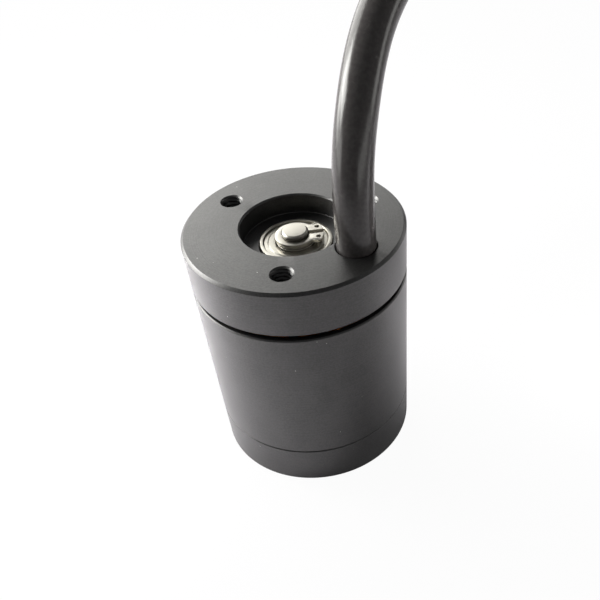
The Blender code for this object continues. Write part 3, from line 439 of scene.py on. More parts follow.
def carved(blank, cutters):
    """The blank mesh with each cutter mesh taken out of it."""
    work = linked("blank", blank)
    tools = [linked("cutter", cutter) for cutter in cutters]
    for tool in tools:
        cut = work.modifiers.new("Cut", "BOOLEAN")
        cut.operation, cut.solver, cut.object = "DIFFERENCE", "EXACT", tool
    graph = bpy.context.evaluated_depsgraph_get()
    mesh = bpy.data.meshes.new_from_object(work.evaluated_get(graph))
    for tool in (work, *tools):
        bpy.data.objects.remove(tool)
    return tidied(mesh)


def fitted(name, mesh, body, finish, *replaced, even=True):
    """The mesh as a finished piece on its body, in place of the CAD nodes it stands for."""
    if not mesh.polygons:
        raise RuntimeError(f"{name} has no faces")
    piece = linked(name, mesh)
    mesh.name = name
    mesh.materials.clear()
    mesh.materials.append(finish_of(finish))
    if even:
        piece.modifiers.new("Even shading", "WEIGHTED_NORMAL").keep_sharp = True
    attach(piece, body)
    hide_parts(*replaced)
    return piece


# --- finishes ---


def arithmetic(operation, swapped=False):
    """A method that adds a Math node on its own value and another, or the other way round."""
    def method(self, other):
        values = (other, self) if swapped else (self, other)
        return self.finish.node("ShaderNodeMath", {"operation": operation}, dict(enumerate(values)))
    return method


class Wire:
    """One output of a node. Arithmetic on it adds Math nodes."""

    def __init__(self, finish, socket):
        self.finish, self.socket = finish, socket

    __add__ = __radd__ = arithmetic("ADD")
    __sub__ = arithmetic("SUBTRACT")
    __rsub__ = arithmetic("SUBTRACT", swapped=True)
    __mul__ = __rmul__ = arithmetic("MULTIPLY")
    __pow__ = arithmetic("POWER")

    def sine(self):
        return self.finish.node("ShaderNodeMath", {"operation": "SINE"}, {0: self})

    def step(self, low, high):
        """0 below low, 1 above high and a smooth rise between them."""
        return self.finish.node("ShaderNodeMapRange", {"interpolation_type": "SMOOTHSTEP"},
                                {0: self, 1: low, 2: high})

    def mix(self, first, second):
        """From the first colour to the second as this value goes from 0 to 1."""
        return self.finish.node("ShaderNodeMix", {"data_type": "RGBA"},
                                {0: self, 6: first, 7: second}, 2)

    def tones(self, colour, dark, light):
        """The colour times dark where this value is 0, up to the colour times light at 1."""
        return self.mix(shaded(colour, dark), shaded(colour, light))


class Finish:
    """A node tree under construction, and its Principled shader where it is a material."""

    def __init__(self, owner):
        owner.use_nodes = True
        self.tree = owner.node_tree
        self.shader = self.tree.nodes.get("Principled BSDF")

    def node(self, kind, settings=None, inputs=None, output=0):
        """Adds a node, sets it up, feeds its sockets and gives one of its outputs."""
        node = self.tree.nodes.new(kind)
        for key, value in (settings or {}).items():
            setattr(node, key, value)
        for key, value in (inputs or {}).items():
            self.feed(node.inputs[key], value)
        return Wire(self, node.outputs[output])

    def feed(self, socket, value):
        """Links a wire to the socket, or sets the socket to a plain value."""
        if isinstance(value, Wire):
            self.tree.links.new(value.socket, socket)
        elif socket.type == "RGBA":
            socket.default_value = (*value, 1.0)
        else:
            socket.default_value = value

    def split(self, vector):
        """The three numbers of a vector."""
        node = self.node("ShaderNodeSeparateXYZ", inputs={0: vector}).socket.node
        return [Wire(self, socket) for socket in node.outputs]

    @cached_property
    def place(self):
        """Object coordinates."""
        return self.node("ShaderNodeTexCoord", output="Object")

    @cached_property
    def axes(self):
        """Object coordinates as x, y and z."""
        return self.split(self.place)

    @cached_property
    def radius(self):
        """The distance from the motor's axis."""
        x, y, _ = self.axes
        return (x * x + y * y) ** 0.5

    @cached_property
    def along(self):
        """How far along its path a point of a swept piece is, in metres, from its own map."""
        return self.split(self.node("ShaderNodeUVMap", {"uv_map": "along"}))[0]

    def noise(self, scale, detail=3.0, roughness=0.5):
        """Soft noise in space, around a half."""
        return self.node("ShaderNodeTexNoise", inputs={
            "Vector": self.place, "Scale": scale, "Detail": detail, "Roughness": roughness})

    def lines(self, value, scale, detail=3.0):
        """Noise along one number, which draws lines where that number is constant."""
        return self.node("ShaderNodeTexNoise", {"noise_dimensions": "1D"},
                         {"W": value * scale, "Scale": 1.0, "Detail": detail})

    def cells(self, scale):
        """The distance to the nearest of scattered points, as a share of their spacing."""
        return self.node("ShaderNodeTexVoronoi", inputs={"Vector": self.place, "Scale": scale})

    def bump(self, height, depth):
        """A bumped normal from a height of 0 to 1 that stands for a depth in millimetres."""
        return self.node("ShaderNodeBump", inputs={
            "Strength": 1.0, "Distance": depth * MM, "Height": height})

    def shade(self, **values):
        """Feeds the Principled shader; an underscore stands for a blank in a socket's name."""
        for key, value in values.items():
            self.feed(self.shader.inputs[key.replace("_", " ")], value)

    def coat(self, colour, dark, light, grain, marks=None, share=0.5, rough=0.4, spread=0.1,
             depth=0.0, **others):
        """Feeds the Principled shader for an even finish.

        The colour goes from dark to light with the grain, and with the marks by their share.
        The roughness rises with the grain by its spread, and the skin stands up by the depth
        in millimetres where the marks, or the grain without them, are high.
        """
        blend = grain if marks is None else marks * share + grain * (1 - share)
        if depth:
            others["Normal"] = self.bump(grain if marks is None else marks, depth)
        self.shade(Base_Color=blend.tones(colour, dark, light), Roughness=rough + grain * spread,
                   **others)


def shaded(colour, amount):
    """A colour made lighter or darker by a factor."""
    return tuple(min(1.0, part * amount) for part in colour)


def paint_anodised(make, look):
    """Satin black anodising on fine turning marks, with faint grain and a few specks of dust."""
    marks = make.lines(make.radius + make.axes[Z], 9000.0)
    grain = make.noise(5200.0, detail=4.0, roughness=0.62)
    cloud = make.noise(260.0)
    specks = 1.0 - make.cells(900.0).step(0.033, 0.055)
    dust = specks * make.noise(420.0, detail=2.0).step(0.54, 0.6)
    blend = (marks * 0.25 + grain * 0.5 + cloud * 0.25).step(0.3, 0.7)
    make.shade(
        Base_Color=dust.mix(blend.tones(look.anodised, 0.8, 1.2), look.dust),
        Metallic=0.95 - dust * 0.9,
        Roughness=look.anodised_roughness - 0.06 + grain * 0.08 + cloud * 0.04,
        Normal=make.bump(marks * 0.25 + grain * 0.75, 0.005),
    )


def paint_steel(make, look):
    """Bright steel with round grinding lines and a little haze."""
    marks = make.lines(make.radius + make.axes[Z] * 0.6, 14000.0)
    make.coat(look.steel, 0.82, 1.1, make.noise(700.0), marks, depth=0.0004,
              rough=look.steel_roughness - 0.04, spread=0.08, Metallic=1.0)


def paint_ground_with_shade(make, look):
    """The shaft: faced bright at its ends and ground round its side, with painted shade that
    darkens the steel on its side.
    """
    marks = make.lines(make.radius - make.axes[Z], 16000.0)
    haze = make.noise(900.0)
    # Painted shade: round the shaft's side the steel's colour is mixed three quarters of the way to
    # a fifth of itself, a darker reflection painted into the colour.
    side = make.radius.step(SHAFT_RADIUS - 0.12 * MM, SHAFT_RADIUS - 0.02 * MM)
    tone = (marks * 0.5 + haze * 0.5).tones(look.steel, 0.84, 1.0)
    make.shade(
        Base_Color=(side * 0.75).mix(tone, shaded(look.steel, 0.2)),
        Metallic=1.0,
        Roughness=look.steel_roughness + 0.02 + haze * 0.08,
        Normal=make.bump(marks, 0.0006),
    )


def paint_sheath(make, look):
    """Smooth rubber with slow waves left by the extruder and a few faint scuffs."""
    waves = make.lines(make.along, 240.0, detail=2.0)
    skin = make.noise(2600.0)
    scuffs = make.noise(520.0, detail=4.0, roughness=0.65).step(0.62, 0.74)
    tone = scuffs.tones(look.sheath, 1.0, 1.8)
    make.shade(
        Base_Color=(skin.step(0.3, 0.7) * 0.35).mix(tone, shaded(look.sheath, 1.7)),
        Roughness=look.sheath_roughness - 0.05 + skin * 0.12 + scuffs * 0.06,
        Normal=make.bump(waves * 0.7 + skin * 0.3, 0.014),
    )


def paint_sleeve(make, look):
    """Shrunk sleeve with fine wrinkles round it and a dull skin."""
    wrinkles = make.lines(make.along, 1500.0)
    skin = make.noise(3000.0)
    make.coat(look.sleeve, 0.75, 1.4, skin, wrinkles, rough=0.4, spread=0.14,
              Normal=make.bump(wrinkles * 0.7 + skin * 0.3, 0.03))


def paint_lamination(make, look):
    """Stacked electrical sheets: a fine groove between each sheet and the next."""
    sheet = 0.35 * MM
    groove = ((make.axes[Z] * (TURN / sheet)).sine() * 0.5 + 0.5) ** 6.0
    grain = make.noise(6000.0)
    make.shade(
        Base_Color=(groove * 0.7 + grain * 0.3).tones(look.lamination, 1.0, 0.35),
        Metallic=0.9,
        Roughness=0.38 + groove * 0.25 + grain * 0.1,
        Normal=make.bump(1.0 - groove, 0.02),
    )


def paint_nickel(make, look):
    """Dull nickel on a sintered magnet."""
    grain = make.noise(9000.0, detail=4.0, roughness=0.6)
    make.coat(look.nickel, 0.8, 1.1, make.noise(500.0, detail=2.0), grain, share=0.4,
              rough=0.26, spread=0.14, depth=0.004, Metallic=1.0)


def paint_zinc(make, look):
    """Zinc-plated steel tube with faint crystals."""
    make.coat(look.zinc, 0.8, 1.2, make.cells(1800.0), make.noise(5000.0), share=0.4,
              rough=0.32, spread=0.12, depth=0.003, Metallic=1.0)


def paint_plating(make, look):
    """Gold plating with fine turning lines along and some dulling."""
    marks = make.lines(make.axes[X], 16000.0, detail=2.0)
    make.coat(look.plating, 0.86, 1.08, make.noise(1100.0), rough=0.2, spread=0.14,
              Metallic=1.0, Normal=make.bump(marks, 0.0015))


def paint_copper(make, look):
    """Enamelled copper wire with a slight change of tint from place to place."""
    make.coat(look.copper, 0.75, 1.2, make.noise(900.0, detail=2.0), rough=0.26, spread=0.12,
              Metallic=0.9, Coat_Weight=0.5)


def paint_lead(make, look):
    """Matt rubber of the core leads."""
    make.coat(look.lead, 0.8, 1.3, make.noise(4200.0), rough=0.36, spread=0.12, depth=0.01)


def paint_insulator(make, look):
    """Powder-coated insulator with an orange-peel skin."""
    peel = make.noise(3600.0, detail=2.0)
    make.coat(look.insulator, 0.8, 1.25, peel, rough=0.4, spread=0.15, depth=0.02)


def paint_resin(make, look):
    """Glossy poured resin, slightly uneven."""
    pool = make.noise(1200.0, detail=2.0)
    make.coat(look.resin, 0.8, 1.3, pool, rough=0.18, spread=0.12, depth=0.03)


def paint_tie(make, look):
    """Moulded nylon with a fine grain."""
    make.coat(look.tie, 0.8, 1.3, make.noise(7000.0), rough=0.38, spread=0.12, depth=0.008)


# Each finish with the function that paints it, and the slot of the new pieces that take it
FINISHES = {
    "black anodised": (paint_anodised, "black_anodised"),
    "bright steel": (paint_steel, "bright_steel"),
    "ground steel with painted shade": (paint_ground_with_shade, "bright_steel"),
    "cable sheath": (paint_sheath, "cable_sheath"),
    "lead insulation": (paint_lead, "lead_insulation"),
    "shrunk sleeve": (paint_sleeve, "shrink_sleeve"),
    "gold plating": (paint_plating, "gold_plating"),
    "enamelled copper": (paint_copper, "copper_enamel"),
    "seal resin": (paint_resin, "seal_resin"),
    "tie plastic": (paint_tie, "tie_plastic"),
    "lamination": (paint_lamination, None),
    "magnet nickel": (paint_nickel, None),
    "zinc steel": (paint_zinc, None),
    "insulator coat": (paint_insulator, None),
}


def finish_of(name):
    """The finish's material, made the first time it is asked for."""
    material = bpy.data.materials.get(name)
    if material is None:
        material = bpy.data.materials.new(name)
        FINISHES[name][0](Finish(material), bpy.context.scene.motor_finishes)
    return material


# --- pieces ---


def coil_level(passed):
    """The height of the coil's centreline after that many degrees: it falls a pitch a turn."""
    return COIL_LOW + COIL_FALL + COIL_PITCH * (COIL_TURN - passed) / 360


def tail_point(passed, height):
    """The last curve after that many degrees: a circle that touches the laps from inside."""
    centre = polar(COIL_RADIUS - TAIL_RADIUS, radians(COIL_END), 0.0, COIL_CENTRE)
    return polar(TAIL_RADIUS, np.radians(COIL_END + passed), height, centre)


def cable_end():
    """Where the sleeve starts on the cable, and the direction in which the cable runs there."""
    heading = polar(1.0, radians(COIL_END + TAIL_TURN + 90), 0.0)
    return tail_point(TAIL_TURN, COIL_LOW), heading


def cable_points():
    """The cable's centreline: its free stretch, then the laps of its coil, then the last curve.

    A lap's point is at the coil's radius and angle a, and falls by the pitch in each turn. The
    last curve comes down with the square of what is left of its falling stretch.
    """
    apart, falling = 24.0, 100.0
    foot = [(CABLE_X, CABLE_Y, level)
            for level in (SEAL_TOP + 0.3 * MM, BASE_TOP - 1.7 * MM, BASE_TOP + 0.2 * MM)]
    passed = np.linspace(0.0, COIL_TURN, round(COIL_TURN / apart) + 1)
    laps = polar(COIL_RADIUS, np.radians(COIL_START + passed), coil_level(passed), COIL_CENTRE)
    passed = np.linspace(0.0, TAIL_TURN, 10)[1:]
    fall = (1 - np.clip(passed / falling, 0, 1)) ** 2
    last = tail_point(passed, COIL_LOW + COIL_FALL * fall)
    end, heading = cable_end()
    return np.vstack([foot, millimetres(FREE_ROUTE), laps, last,
                      end + heading * SLEEVE_LENGTH / 2])


def make_cable(sizes):
    """The cable, its coil's tie and the shrunk sleeve, leads and plugs at its end."""
    path = smooth_curve(cable_points(), per_stretch=8)
    mesh = swept_mesh(path, ring(sizes.cable_diameter / 2, sides=40), pi * sizes.cable_diameter)
    cable = fitted("cable", mesh, "stator", "cable sheath",
                   "motor_cable", "cable_coil", "cable_tail", even=False)
    others = [make_tie(), make_sleeve(), *make_leads(sizes)]


def make_tie():
    """A flat nylon strap round the stacked turns, with its locking head outside.

    The strap's section, a rounded rectangle, is carried round a rounded rectangle in the plane
    through the coil's axis.
    """
    reach, bend = 2.38 * MM, 2.2 * MM
    outward, across = (polar(1.0, radians(TIE_ANGLE + more), 0.0) for more in (0, 90))
    high = coil_level(TIE_ANGLE - COIL_START) + reach
    low = coil_level(TIE_ANGLE - COIL_START + 720) - reach
    loop = rounded(rectangle((-reach, low), (reach, high), bend), steps=10)
    tangent = np.roll(loop, -1, 0) - np.roll(loop, 1, 0)
    tangent /= np.linalg.norm(tangent, axis=1, keepdims=True)
    normal = np.stack([tangent[:, 1], -tangent[:, 0]], -1)
    strap = rounded(millimetres(rectangle((-1.25, -0.2), (1.25, 0.2), 0.12)), steps=3)
    place = loop[:, None] + normal[:, None] * strap[None, :, 1:]
    points = (COIL_CENTRE + (COIL_RADIUS + place[..., :1]) * outward
              + place[..., 1:] * (0, 0, 1) + strap[None, :, :1] * across)
    spot = COIL_CENTRE + (COIL_RADIUS + reach + 1.6 * MM) * outward
    spot[Z] = (low + high) / 2
    head = moved(block(millimetres((3.4, 3.0, 4.6)), 0.5 * MM), spot, radians(TIE_ANGLE))
    return fitted("coil_strap", mesh_of(surface(points, wrap_rows=True), head), "stator",
                  "tie plastic", "coil_tie")


def block(size, fillet):
    """A box with rounded edges and corners.

    A ball's points, pushed apart by half the size less the fillet in each axis by their sign.
    """
    rows, columns = 13, 24
    tilt = np.linspace(-pi / 2, pi / 2, rows)[:, None]
    ball = polar(np.cos(tilt), even_turn(columns) + pi / columns, np.sin(tilt))
    side = np.sign(np.round(ball, 9))
    side[..., Z] = np.where(np.arange(rows)[:, None] < rows // 2, -1, 1)
    return surface(ball * fillet + side * (size / 2 - fillet))


def make_sleeve():
    """The shrunk sleeve over the cable's end: round on the cable and flat over the three cores.

    Its section at share t along is an ellipse whose width, height and level go smoothly from
    the cable's to the cores', with a low swell before its middle and a rim drawn in at each end.
    """
    radius = 2.3 * MM
    wider, flatter, lower = 0.16 * MM, 0.95 * MM, 0.85 * MM
    end, heading = cable_end()
    t = np.linspace(0.0, 1.0, 33)[:, None]
    flat = eased(t, 0.35, 0.85)
    path = end + t * heading * SLEEVE_LENGTH - flat * (0, 0, lower)
    rim = np.clip(np.minimum(t, 1 - t) * SLEEVE_LENGTH / (0.14 * MM), 0, 1) ** 0.5
    swell = 0.03 * MM * np.exp(-((t - 0.45) / 0.12) ** 2)
    size = np.stack([radius + flat * wider + swell, radius - flat * flatter + swell], -1)
    section = ring(1.0, sides=48) * size * (0.95 + 0.05 * rim[..., None])
    return fitted("end_sleeve", swept_mesh(path, section, TURN * radius), "stator",
                  "shrunk sleeve", "cable_sleeve", even=False)


def lead_path(number):
    """One core lead: out of the sleeve, round an arc to +X and on to its plug.

    The three arcs share one centre, and each is a lead's spacing wider than the last.
    """
    inner, spacing, apart = 3.0 * MM, 1.55 * MM, 3.9 * MM
    end, heading = cable_end()
    left = np.array([-heading[Y], heading[X], 0.0])
    centre = end + heading * SLEEVE_LENGTH + left * (inner + spacing)
    angle = np.radians(np.linspace((COIL_END + TAIL_TURN) % 360, 270.0, 6))
    arc = polar(inner + spacing * number, angle, 0.9 * MM, centre)
    arc[0, Z] = 1.5 * MM
    inside = arc[0] - heading * 1.2 * MM + (0, 0, 0.1 * MM)
    plug = np.array([COIL_CENTRE[X] - 3.2 * MM,
                     centre[Y] - inner - spacing + (1 - number) * apart, 1.6 * MM])
    return np.vstack([inside, arc, plug - (1.6 * MM, 0, 0), plug + (1.0 * MM, 0, 0)]), plug


def make_leads(sizes):
    """Three insulated core leads and the gold bullet plugs soldered to them."""
    pieces = []
    for number in range(3):
        route, plug = lead_path(number)
        mesh = swept_mesh(smooth_curve(route, per_stretch=6),
                          ring(sizes.core_diameter / 2, sides=20), pi * sizes.core_diameter)
        pieces.append(fitted(f"core_wire_{number + 1}", mesh, "stator", "lead insulation",
                             f"core_lead_{number + 1}", even=False))
        pieces.append(fitted(f"bullet_{number + 1}", mesh_of(moved(bullet(), plug)), "stator",
                             "gold plating", f"bullet_plug_{number + 1}"))
    return pieces


def bullet():
    """A bullet plug along +X: a cup for the lead, a collar, and a sprung pin with four slits.

    The pin's radius swells in its middle and drops at its nose, and it drops by the slit's
    depth where the angle is within the slit's half width of a quarter turn.
    """
    cup = lathe(rounded(millimetres([
        (0.0, 0.8, 0.0), (0.95, 0.8, 0.03), (0.95, 0.0, 0.03), (1.5, 0.0, 0.08),
        (1.6, 0.5, 0.1), (1.6, 4.1, 0.1), (1.45, 4.25, 0.05), (1.45, 4.45, 0.05),
        (1.6, 4.6, 0.05), (1.6, 4.8, 0.05), (0.8, 4.8, 0.02), (0.0, 4.9, 0.0)]), steps=3),
        sides=48)
    low, high, nose_length = 4.7 * MM, 9.0 * MM, 0.6 * MM
    thin, swell = 0.82 * MM, 0.18 * MM
    slits, half_width, depth = 4, 0.09 * MM, 0.22 * MM
    height = np.linspace(low, high, 44)[:, None]
    share = np.clip((height - low) / (high - low), 0, 1)
    nose = 1 - np.clip((high - height) / nose_length, 0, 1)
    radius = (thin + swell * np.sin(pi * share) ** 1.5) * np.sqrt(1 - nose ** 2 * 0.62)
    angle = even_turn(96)
    off_slit = np.abs((angle / TURN * slits + 0.5) % 1 - 0.5) * TURN / slits * radius
    cut = (off_slit < half_width) & (share > 0.08) & (share < 0.86)
    points = polar(radius - depth * cut, angle, height)
    pin = surface(capped(points, (0, 0, low), (0, 0, high)))
    return moved(joined(cup, pin), turn=radians(90), axis="Y")


def around(radius, degrees):
    """The point (x, y) at that radius and angle round the motor's axis."""
    return radius * cos(radians(degrees)), radius * sin(radians(degrees))


def tapped_hole(place, top, bottom, bore, pitch, depth, sink, through=False):
    """The space inside a countersunk, tapped hole, as a closed solid.

    The radius at angle a and height z is the bore's, plus the thread's depth times a triangle
    wave of z / pitch - a / turn. At the mouth it is the countersink's cone where that is wider.
    """
    past, per_pitch = 0.3 * MM, 8
    z = np.linspace(bottom, top + past, int(np.ceil((top - bottom) / pitch * per_pitch)) + 1)
    z, angle = z[:, None], even_turn(40)
    wave = 1 - np.abs(2 * ((z / pitch - angle / TURN) % 1) - 1)
    runout = 1.0 if through else np.clip((z - bottom) / (2 * pitch), 0, 1)
    radius = np.maximum(bore + depth * wave * runout, bore + sink + (z - top))
    if through:
        radius = np.maximum(radius, bore + sink + (bottom + past - z))
    tip = bottom if through else bottom - bore * 0.6
    points = polar(radius, angle, z, place)
    return mesh_of(surface(capped(points, (*place, tip), (*place, top + past))))


def make_base(sizes):
    """The base and its bearing tube, turned in one piece, with its tapped holes and cable hole."""
    s, r, wide, fine = sizes, sizes.edge_round, sizes.edge_chamfer, sizes.fine_chamfer
    flange, ledge = 5.4 * MM, 0.55 * MM
    shoulder = s.seat_radius - ledge
    neck_low = BASE_TOP - flange
    neck_end = neck_low - s.neck_length
    floor = BASE_TOP - s.recess_depth
    blank = mesh_of(lathe(rounded([
        (s.recess_radius + fine, BASE_TOP, r),
        (CASE_RADIUS - wide, BASE_TOP, r),
        (CASE_RADIUS, BASE_TOP - wide, r),
        (CASE_RADIUS, neck_low + fine, r),
        (CASE_RADIUS - fine, neck_low, r),
        (s.neck_radius, neck_low, 0.15 * MM),
        (s.neck_radius, neck_end, r),
        (s.tube_radius, neck_end, 0.05 * MM),
        (s.tube_radius, BASE_LOW + fine, r),
        (s.tube_radius - fine, BASE_LOW, r),
        (s.seat_radius, BASE_LOW, r),
        (s.seat_radius, FRONT_TOP + FIT, 0.0),
        (shoulder, FRONT_TOP + FIT, r),
        (shoulder, REAR_LOW - FIT, r),
        (s.seat_radius, REAR_LOW - FIT, 0.0),
        (s.seat_radius, floor, r),
        (s.recess_radius, floor, 0.1 * MM),
        (s.recess_radius, BASE_TOP - fine, r),
    ]), sides=192))
    thread_depth = 0.2 * MM
    tools = [tapped_hole(around(s.mount_circle, angle), BASE_TOP, BASE_TOP - s.mount_depth,
                         s.mount_radius, s.mount_pitch, thread_depth, s.sink)
             for angle in (18.0, 138.0, 258.0)]
    flare = 0.12 * MM
    hole, mouth = s.cable_hole, s.cable_hole + flare
    below, above = neck_low - 1 * MM, BASE_TOP + flare
    passage = lathe([(0.0, below), (mouth, below), (mouth, neck_low), (hole, neck_low + flare),
                     (hole, BASE_TOP - flare), (mouth + flare, above), (0.0, above)], sides=72)
    tools.append(mesh_of(moved(passage, (CABLE_X, CABLE_Y, 0.0))))
    fitted("base", carved(blank, tools), "stator", "black anodised", "base_housing")
    radius = 2.05 * MM
    plug = lathe(rounded([(0.0, SEAL_LOW, 0.0), (radius, SEAL_LOW, 0.1 * MM),
                          (radius, SEAL_TOP, 0.1 * MM), (0.0, SEAL_TOP - 0.15 * MM, 0.0)]),
                 sides=48)
    fitted("seal", mesh_of(moved(plug, (CABLE_X, CABLE_Y, 0.0))), "stator", "seal resin",
           "cable_seal")


def make_bearings():
    """Both ball bearings: outer race, pressed shield with its lip, and inner race.

    The profiles are in millimetres from the bearing's middle, with its open face up. What
    stands above the ball groove is raised by the bearing's lift.
    """
    groove_edge = 1.2
    profiles = {
        "outer_race": ("stator", [
            (3.55, 2.0, 0.05), (4.0, 2.0, 0.16), (4.0, -2.0, 0.16), (3.55, -2.0, 0.05),
            (3.55, -1.5, 0.02), (3.35, -1.5, 0.02), (3.35, -0.75, 0.02), (3.54, 0.0, 0.3),
            (3.35, 0.75, 0.02), (3.35, 1.5, 0.02), (3.55, 1.5, 0.02)]),
        "shield": ("stator", [
            (2.22, 1.86, 0.05), (2.45, 1.88, 0.08), (2.95, 1.88, 0.1), (3.1, 1.8, 0.06),
            (3.44, 1.8, 0.04), (3.5, 1.74, 0.03), (3.5, 1.6, 0.03), (3.05, 1.6, 0.06),
            (2.9, 1.68, 0.06), (2.22, 1.68, 0.03)]),
        "inner_race": ("rotor", [
            (1.5, 2.0, 0.12), (2.12, 2.0, 0.06), (2.12, 0.75, 0.02), (1.96, 0.0, 0.3),
            (2.12, -0.75, 0.02), (2.12, -2.0, 0.06), (1.5, -2.0, 0.12)]),
    }
    for end, low, high, lift, flip in (("rear", REAR_LOW, REAR_TOP, LIFT, 0.0),
                                       ("front", FRONT_LOW, FRONT_TOP, 0.0, pi)):
        for kind, (body, corners) in profiles.items():
            profile = rounded(millimetres(corners))
            profile[profile[:, 1] > groove_edge * MM, 1] += lift
            part = moved(lathe(profile, sides=128), (0.0, 0.0, (low + high) / 2), flip, "X")
            fitted(f"{end}_{kind}_turned", mesh_of(part), body, "bright steel",
                   f"{end}_{kind}")


def make_shaft():
    """The shaft with its clip groove, domed top and centre drilling, its shim and its clip."""
    low, high, radius = SHAFT_LOW, SHAFT_TOP, SHAFT_RADIUS
    groove = radius - 0.15 * MM
    above, below = CLIP_TOP + FIT, CLIP_LOW - FIT
    r, chamfer, drilled = 0.03 * MM, 0.15 * MM, low + 0.22 * MM
    fitted("shaft", mesh_of(lathe(rounded([
        (0.0, high, 0.0), (radius - 0.2 * MM, high - 0.01 * MM, 0.15 * MM),
        (radius, high - 0.24 * MM, 0.12 * MM), (radius, above, TIGHT), (groove, above, TIGHT),
        (groove, below, TIGHT), (radius, below, TIGHT), (radius, low + chamfer, r),
        (radius - chamfer, low, r), (0.2 * MM, low, r), (0.06 * MM, drilled, 0.0),
        (0.0, drilled, 0.0)]), sides=96)), "rotor", "ground steel with painted shade", "motor_shaft")
    washer = rounded(rectangle((1.5 * MM, SHIM_TOP), (2.05 * MM, SHIM_LOW), r), steps=3)
    fitted("shim", mesh_of(lathe(washer, sides=96)), "rotor", "bright steel", "clip_shim")
    fitted("clip", clip_mesh(groove + 0.03 * MM), "rotor", "bright steel", "retaining_clip")


def clip_mesh(inner):
    """The retaining clip: a sprung ring open at +X, with a lug and a hole at either end.

    A point at share t of the way round and with radius r has the angle g + (turn - 2 g) t,
    where g is the angle whose sine is half the opening over r, so both end faces are flat and
    parallel. The outer radius falls from the lugs' to the body's by a smooth step in angle, and
    the section is a rounded rectangle between the two radii, with a quarter turn at each corner.
    It runs clockwise from its inner low corner.
    """
    half_opening, body, lug, fillet = 0.34 * MM, 2.2 * MM, 3.12 * MM, 0.05 * MM
    hole_radius, hole_circle, hole_angle = 0.27 * MM, 2.62 * MM, 21.0
    t = np.linspace(0.0, 1.0, 181)[:, None]
    away = np.degrees(TURN * np.minimum(t, 1 - t)) + 5.0
    outer = lug + (body - lug) * eased(away, 29.0, 41.0)
    quarter, step = np.divmod(np.arange(11, -5, -1) % 16, 4)
    swing = np.radians(90 * quarter + 30 * step)
    radius = np.where(quarter % 3 == 0, outer - fillet, inner + fillet) + fillet * np.cos(swing)
    height = np.where(quarter < 2, CLIP_TOP - fillet, CLIP_LOW + fillet) + fillet * np.sin(swing)
    lean = np.arcsin(half_opening / radius)
    points = polar(radius, lean + (TURN - 2 * lean) * t, height)
    blank = mesh_of(surface(capped(points, points[0].mean(0), points[-1].mean(0))))
    low, high = CLIP_LOW - MM, CLIP_TOP + MM
    punch = lathe([(0.0, low), (hole_radius, low), (hole_radius, high), (0.0, high)], sides=32)
    return carved(blank, [mesh_of(moved(punch, (*around(hole_circle, angle), 0.0)))
                          for angle in (hole_angle, -hole_angle)])


def make_bell(sizes):
    """The bell: its turned can, and the end cap with its hub, spigot and tapped front holes."""
    s, r, wide, fine = sizes, sizes.edge_round, sizes.edge_chamfer, sizes.fine_chamfer
    seam = 0.1 * MM
    fitted("can", mesh_of(lathe(rounded([
        (s.can_bore, CAN_TOP - fine, r),
        (s.can_bore + fine, CAN_TOP, r),
        (CASE_RADIUS - fine, CAN_TOP, r),
        (CASE_RADIUS, CAN_TOP - fine, r),
        (CASE_RADIUS, CAN_LOW + seam, TIGHT),
        (CASE_RADIUS - seam, CAN_LOW, TIGHT),
        (s.can_bore, CAN_LOW, TIGHT),
    ]), sides=192)), "rotor", "black anodised", "bell_can")
    bore = SHAFT_RADIUS + 0.03 * MM
    spigot = s.can_bore - FIT
    inside = spigot - 0.9 * MM
    blank = mesh_of(lathe(rounded([
        (bore + fine, 0.0, r),
        (bore, fine, r),
        (bore, s.hub_top, TIGHT),
        (s.hub_radius - fine, s.hub_top, r),
        (s.hub_radius, s.hub_top - fine, r),
        (s.hub_radius, s.cap_plate, 0.25 * MM),
        (inside - wide, s.cap_plate, 0.1 * MM),
        (inside, s.cap_plate + wide, 0.1 * MM),
        (inside, s.spigot_top, r),
        (spigot, s.spigot_top, r),
        (spigot, CAP_TOP, TIGHT),
        (CASE_RADIUS - seam, CAP_TOP, TIGHT),
        (CASE_RADIUS, CAP_TOP - seam, TIGHT),
        (CASE_RADIUS, wide, r),
        (CASE_RADIUS - wide, 0.0, r),
    ]), sides=192))
    past, thread_depth, sink = 0.3 * MM, 0.16 * MM, 0.16 * MM
    tools = [tapped_hole(around(s.prop_circle, 45.0 + 90.0 * number), s.cap_plate, -past,
                         s.prop_radius, s.prop_pitch, thread_depth, sink, through=True)
             for number in range(4)]
    fitted("end_cap", carved(blank, tools), "rotor", "black anodised", "bell_end_cap")


def winding_path(low, high, middle, turns, wire):
    """The wire of one tooth's coil, in the tooth's own plane with the tooth along +X.

    Two layers: the first runs outward and the second back over it. Each turn is a superellipse
    round the tooth, drawn at even steps, while the wire moves on by one pitch.
    """
    half_tooth, half_stack = 0.8 * MM, 6.0 * MM
    per_turn, square, slack = 28, 4.0, 1.02
    share = np.arange(2 * turns * per_turn + 1) / per_turn
    grow = np.clip(share - turns + 0.5, 0, 1) * wire * slack
    out = np.where(share <= turns, share, 2 * turns - share) / turns * (high - low - wire)
    c, s = (np.sign(w) * np.abs(w) ** (2 / square)
            for w in (np.cos(share * TURN), np.sin(share * TURN)))
    return np.stack([low + wire / 2 + out, (half_tooth + wire / 2 + grow) * c,
                     middle + (half_stack + wire / 2 + grow) * s], -1)


def make_windings(sizes):
    """Twelve wound coils, one on each tooth of the core."""
    wire = sizes.wire_diameter
    (low, high), middle = span("winding_01", X), sum(span("winding_01")) / 2
    path = winding_path(low + TIGHT, high - TIGHT, middle, sizes.wire_turns, wire)
    strand = sweep(path, ring(wire / 2 * 0.98, sides=6))
    for number in range(12):
        mesh = mesh_of(moved(strand, turn=radians(30 * number)))
        fitted(f"wound_coil_{number + 1:02d}", mesh, "stator", "enamelled copper",
               f"winding_{number + 1:02d}", even=False)


